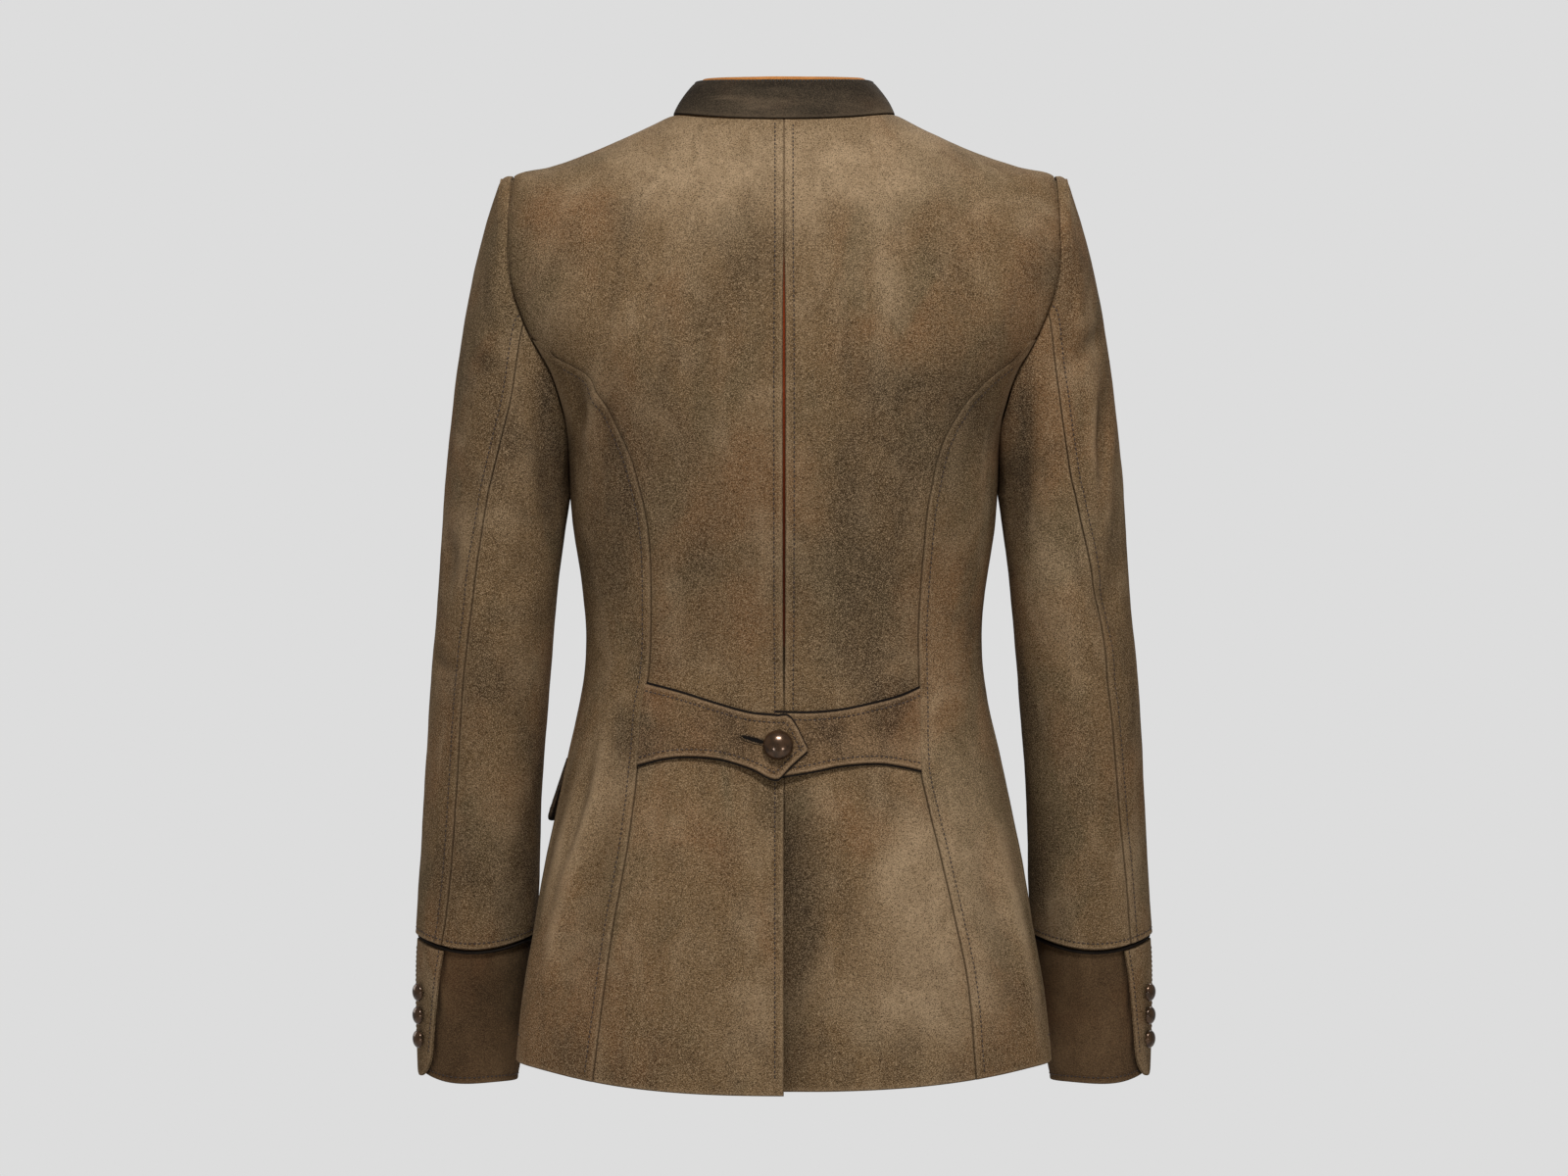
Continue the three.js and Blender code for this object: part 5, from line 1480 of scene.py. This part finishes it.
BELT_LEFT = table(
    "x top bottom",
    [
        (-15.8, 435.6, 437.2), (-4.5, 415, 447.6), (5, 413.8, 456.4), (22, 411.8, 448.6), (43, 406, 442),
        (66, 398.6, 440.3), (81, 394.4, 441.8), (90.6, 392, 444.2), (98, 389.4, 446.3),
    ],
)
BELT_RIGHT = table(
    "x top bottom",
    [
        (-92, 394, 450), (-78.5, 400, 447), (-63, 404.6, 445), (-40, 409.6, 446.4), (-18, 411.4, 450.6),
        (6, 411, 454.5),
    ],
)
BELT_THICKNESS = 2.2
BELT_SEAM_GAP = 0.6
BELT_STAND_OFF = {"end": 0.7, "middle": 2.4, "half": 92}
BELT_STITCH = 4.6
BELT_HEIGHT = 34.0
BELT_GAPE = {"x": -58, "out": 3.4, "spread": 18}  # the top edge stands away there


def belt_stand_off(x):
    share = np.minimum(np.abs(x) / BELT_STAND_OFF["half"], 1) ** 2
    return mix(BELT_STAND_OFF["middle"], BELT_STAND_OFF["end"], share)


def tab_lift(x):
    return (BELT_THICKNESS + SEAM_GAP) * (1 - smooth(8, 34, x))


def belt_grid(rows, start, end, extra, grow=(0, 0)):
    """Places of a belt part, with its top and bottom edges moved out by grow."""
    x = start + (end - start) * shares_across([end - start], 34)
    top = column(rows, "top", x) - grow[0]
    bottom = column(rows, "bottom", x) + grow[1]
    share = shares_down(BELT_HEIGHT)
    drop = mix(top, bottom, share)
    seam = np.where(x >= 0, princess_x(1, drop), princess_x(-1, drop)) - BELT_SEAM_GAP
    points, normals = on_back(np.sign(x) * np.minimum(np.abs(x), seam), drop)
    gape = BELT_GAPE["out"] * bell(x - BELT_GAPE["x"], BELT_GAPE["spread"]) * (1 - smooth(0, 0.6, share))
    return points, normals, belt_stand_off(x) + extra(x) + gape


def belt_part(node, rows, start, end, extra, tip):
    points, normals, lift = belt_grid(rows, start, end, extra)
    cut = Cut(node, points, normals, BELT_THICKNESS - 0.7)
    cut.raise_by(lift + BELT_THICKNESS)
    cut.fold([], 0.45).roll(0.9, "top", "bottom", worn=0.8)
    cut.channel(BELT_STITCH, "top", "bottom", depth=0.4, seed=81)
    if tip:
        cut.out -= rolled(cut.far_from("first"), 0.9)
    add_cut(cut, BELT_SUEDE, cut.line_at("top", BELT_STITCH), cut.line_at("bottom", BELT_STITCH))
    # Black backing past the top and bottom edges: partly the belt's dark underside, partly a painted shadow
    # line
    points, normals, lift = belt_grid(rows, start, end, extra, grow=(1.7, 1.1))
    backing = Cut(node + "_backing", points, normals, 0.65)
    backing.raise_by(lift + 0.65)
    add_cut(backing, BLACK_EDGE, replaces=False)


belt_part("belt_left", BELT_LEFT, -15.8, 98, tab_lift, True)
belt_part("belt_right", BELT_RIGHT, -92, 6, lambda x: 0 * x, False)

BELT_BUTTON = {"x": 4, "drop": 434}
place, way = on_back(BELT_BUTTON["x"], BELT_BUTTON["drop"])
lift = belt_stand_off(BELT_BUTTON["x"]) + tab_lift(BELT_BUTTON["x"]) + BELT_THICKNESS
dome("belt_button", "belt", place, way, lift)

FRONT_BUTTON_DROPS = (92, 162, 232, 302, 372)
for k, drop in enumerate(FRONT_BUTTON_DROPS):
    place, way = on_body(math.pi, drop)
    dome(f"front_button_{k + 1}", "belt", place, way, CLOSING["raise"] + 0.4)


# Buttonholes: a slit between two rolled lips, lying on the cloth, with a black plate in it as painted shade


def buttonhole(name, centre, along, out, length, lip, half):
    """A slit with rolled lips. The centre is on the cloth's face, along and out are directions."""
    along, out = Vector(along).normalized(), Vector(out).normalized()
    across = out.cross(along)
    centre = Vector(centre)
    loop, around = 44, 8
    vertices, rim = [], []
    for k in range(loop):
        turn = 2 * math.pi * k / loop
        rim.append(centre + along * (length / 2) * math.cos(turn) + across * half * math.sin(turn))
        way = (along * math.cos(turn) * half + across * math.sin(turn) * length / 2).normalized()
        for i in range(around):
            roll = 2 * math.pi * i / around
            up = out * (lip * 0.75 * math.sin(roll))
            vertices.append((rim[-1] + way * lip * math.cos(roll) + up) * METRE)
    make_object(name + "_lips", vertices, tube_faces(0, loop, around, closed=True), BELT_SUEDE, sharp=80)
    # The black plate is painted shade inside the slit
    plate = [(spot + out * depth) * METRE for depth in (0.12, -0.5) for spot in rim]
    faces = [tuple(range(loop)), tuple(reversed(range(loop, 2 * loop)))]
    faces += [(k, k + loop, (k + 1) % loop + loop, (k + 1) % loop) for k in range(loop)]
    make_object(name + "_slit", plate, faces, BLACK_EDGE, sharp=40)


def belt_face(x, drop):
    """The belt's outer face at a place across and down."""
    place, way = on_back(x, drop)
    return place + way * (belt_stand_off(x) + tab_lift(x) + BELT_THICKNESS + 0.05), way


hole_from, hole_way = belt_face(29, 427)
hole_to, _ = belt_face(11, 432.5)
middle = (hole_from + hole_to) / 2
buttonhole("belt_hole", middle, hole_to - hole_from, hole_way, length=20, lip=0.7, half=2.1)
for k, drop in enumerate(FRONT_BUTTON_DROPS):
    start, way = on_front(-1, drop)
    end, _ = on_front(-16, drop)
    face = (start + end) / 2 + way * (CLOSING["raise"] + 0.1)
    buttonhole(f"front_hole_{k + 1}", face, end - start, way, length=17, lip=0.6, half=1.3)


# Pocket flaps and welts

FLAP = {
    "top": 445, "height": 44, "from_left": 100, "from_right": 106, "to": 142, "corner": 6, "thickness": 2.6
}
WELT = {"height": 7, "thickness": 2.4, "overhang": 1.5}


def pocket(name, side):
    stand_off = 4.7 if side > 0 else 1.4
    start = FLAP["from_left"] if side > 0 else FLAP["from_right"]
    width = (FLAP["to"] - start) * 2.6
    along = shares_across([width], 24)
    height = FLAP["height"]
    share = (np.concatenate([NEAR_EDGE, spaced(11, 33), height - NEAR_EDGE[::-1]]) / height)[:, None]
    from_end = np.minimum(along, 1 - along) * width
    cut_off = FLAP["corner"] * (1 - np.sqrt(1 - (1 - np.minimum(from_end / FLAP["corner"], 1)) ** 2))
    drop = FLAP["top"] + (height - cut_off) * share
    angle = mix(start, FLAP["to"], along) * DEGREE + 0 * drop
    points, normals = on_body(angle, drop)
    flap = Cut(f"pocket_flap_{name}", points, normals, FLAP["thickness"], side)
    lift = SEAM_GAP + (1.1 if side > 0 else 0.4) + stand_off * share + FLAP["thickness"] + 0 * drop
    flap.raise_by(lift).fold([], 0.3).roll(1.1, "first", "last", "bottom").channel(5, "bottom", seed=91)
    add_cut(flap, DARK_SUEDE, flap.line_at("bottom", 5), thread=DARK_THREAD)
    share = np.array([1, 0.96, 0.88, 0.75, 0.5, 0.25, 0.12, 0.04, 0])[:, None]
    rows = FLAP["top"] - SEAM_GAP - WELT["height"] * share
    ends = (start - WELT["overhang"], FLAP["to"] + WELT["overhang"])
    turn = mix(*ends, np.linspace(0, 1, 45))[None, :] * DEGREE
    points, normals = on_body(turn + 0 * rows, rows + 0 * turn)
    welt = Cut(f"pocket_welt_{name}", points, normals, WELT["thickness"], side)
    welt.raise_by(SEAM_GAP + WELT["thickness"]).roll(1.2, "top", "bottom", "first", "last")
    add_cut(welt, SUEDE)


for name, side in SIDES.items():
    pocket(name, side)


# Camera, light and floor

CAMERA = {"distance": 3.6, "height": -0.326, "frame_width": 1.088, "sensor": 36.0}


def camera():
    data = bpy.data.cameras.new("camera")
    data.sensor_width = CAMERA["sensor"]
    data.lens = CAMERA["sensor"] * CAMERA["distance"] / CAMERA["frame_width"]
    made = add_object("camera", data)
    made.location = (0, CAMERA["distance"], CAMERA["height"])
    made.rotation_euler = (math.pi / 2, 0, math.pi)
    bpy.context.scene.camera = made

LIGHTS = {  # place, size and power
    "key": ((-0.18, 2.0, 2.1), (0.9, 0.6), 101),
    "low_left": ((1.1, 2.7, -0.9), (0.22, 0.2), 9),
    "low_right": ((-1.3, 2.6, -0.8), (0.22, 0.2), 9.5),
    "front_high": ((-0.5, -2.4, 1.6), (1.6, 1.2), 50),
    "front_side": ((2.2, -1.4, 0.2), (1.0, 1.4), 12),
}
LIT = Vector((0, 0, -0.3))  # what the lights point at
FLOOR_HEIGHT = -1.42
BACKDROP = linear(221, 221, 221)
WORLD_STRENGTH = 0.36


def soft_light(name, place, size, power):
    data = bpy.data.lights.new(name, "AREA")
    data.shape = "RECTANGLE"
    data.size, data.size_y = size
    data.energy = power
    made = add_object(name, data)
    made.location = place
    made.rotation_euler = (LIT - Vector(place)).to_track_quat("-Z", "Y").to_euler()


def studio():
    world = bpy.data.worlds.new("studio")
    world.use_nodes = True
    nodes, links = world.node_tree.nodes, world.node_tree.links
    seen = nodes["Background"]
    around = nodes.new("ShaderNodeBackground")
    for shader in (seen, around):
        shader.inputs["Color"].default_value = (*BACKDROP, 1)
    around.inputs["Strength"].default_value = WORLD_STRENGTH
    mixed = nodes.new("ShaderNodeMixShader")
    links.new(nodes.new("ShaderNodeLightPath").outputs["Is Camera Ray"], mixed.inputs[0])
    links.new(around.outputs[0], mixed.inputs[1])
    links.new(seen.outputs[0], mixed.inputs[2])
    links.new(mixed.outputs[0], nodes["World Output"].inputs["Surface"])
    bpy.context.scene.world = world
    for name, light in LIGHTS.items():
        soft_light(name, *light)
    floor = bpy.data.meshes.new("floor")
    maker = bmesh.new()
    place = Matrix.Translation((0, 0, FLOOR_HEIGHT))
    bmesh.ops.create_circle(maker, cap_ends=True, radius=3.0, segments=96, matrix=place)
    maker.to_mesh(floor)
    maker.free()
    look = Look("pale_floor")
    shade = look.noise(3.0, 2.0)
    pale = look.blend(shade, linear(204, 204, 204), linear(208, 208, 208))
    floor.materials.append(look.finish(pale, Roughness=0.9))
    add_object("floor", floor)
    bpy.context.scene.view_settings.view_transform = "Standard"


camera()
studio()


# What each piece of cloth was cut to

SMALL = ("cuff_piping", "pocket_welt")
for name, sewn in SEWN.items():
    if name.startswith(SMALL):
        continue
    across, down, area = sewn["cut"].flat_size()
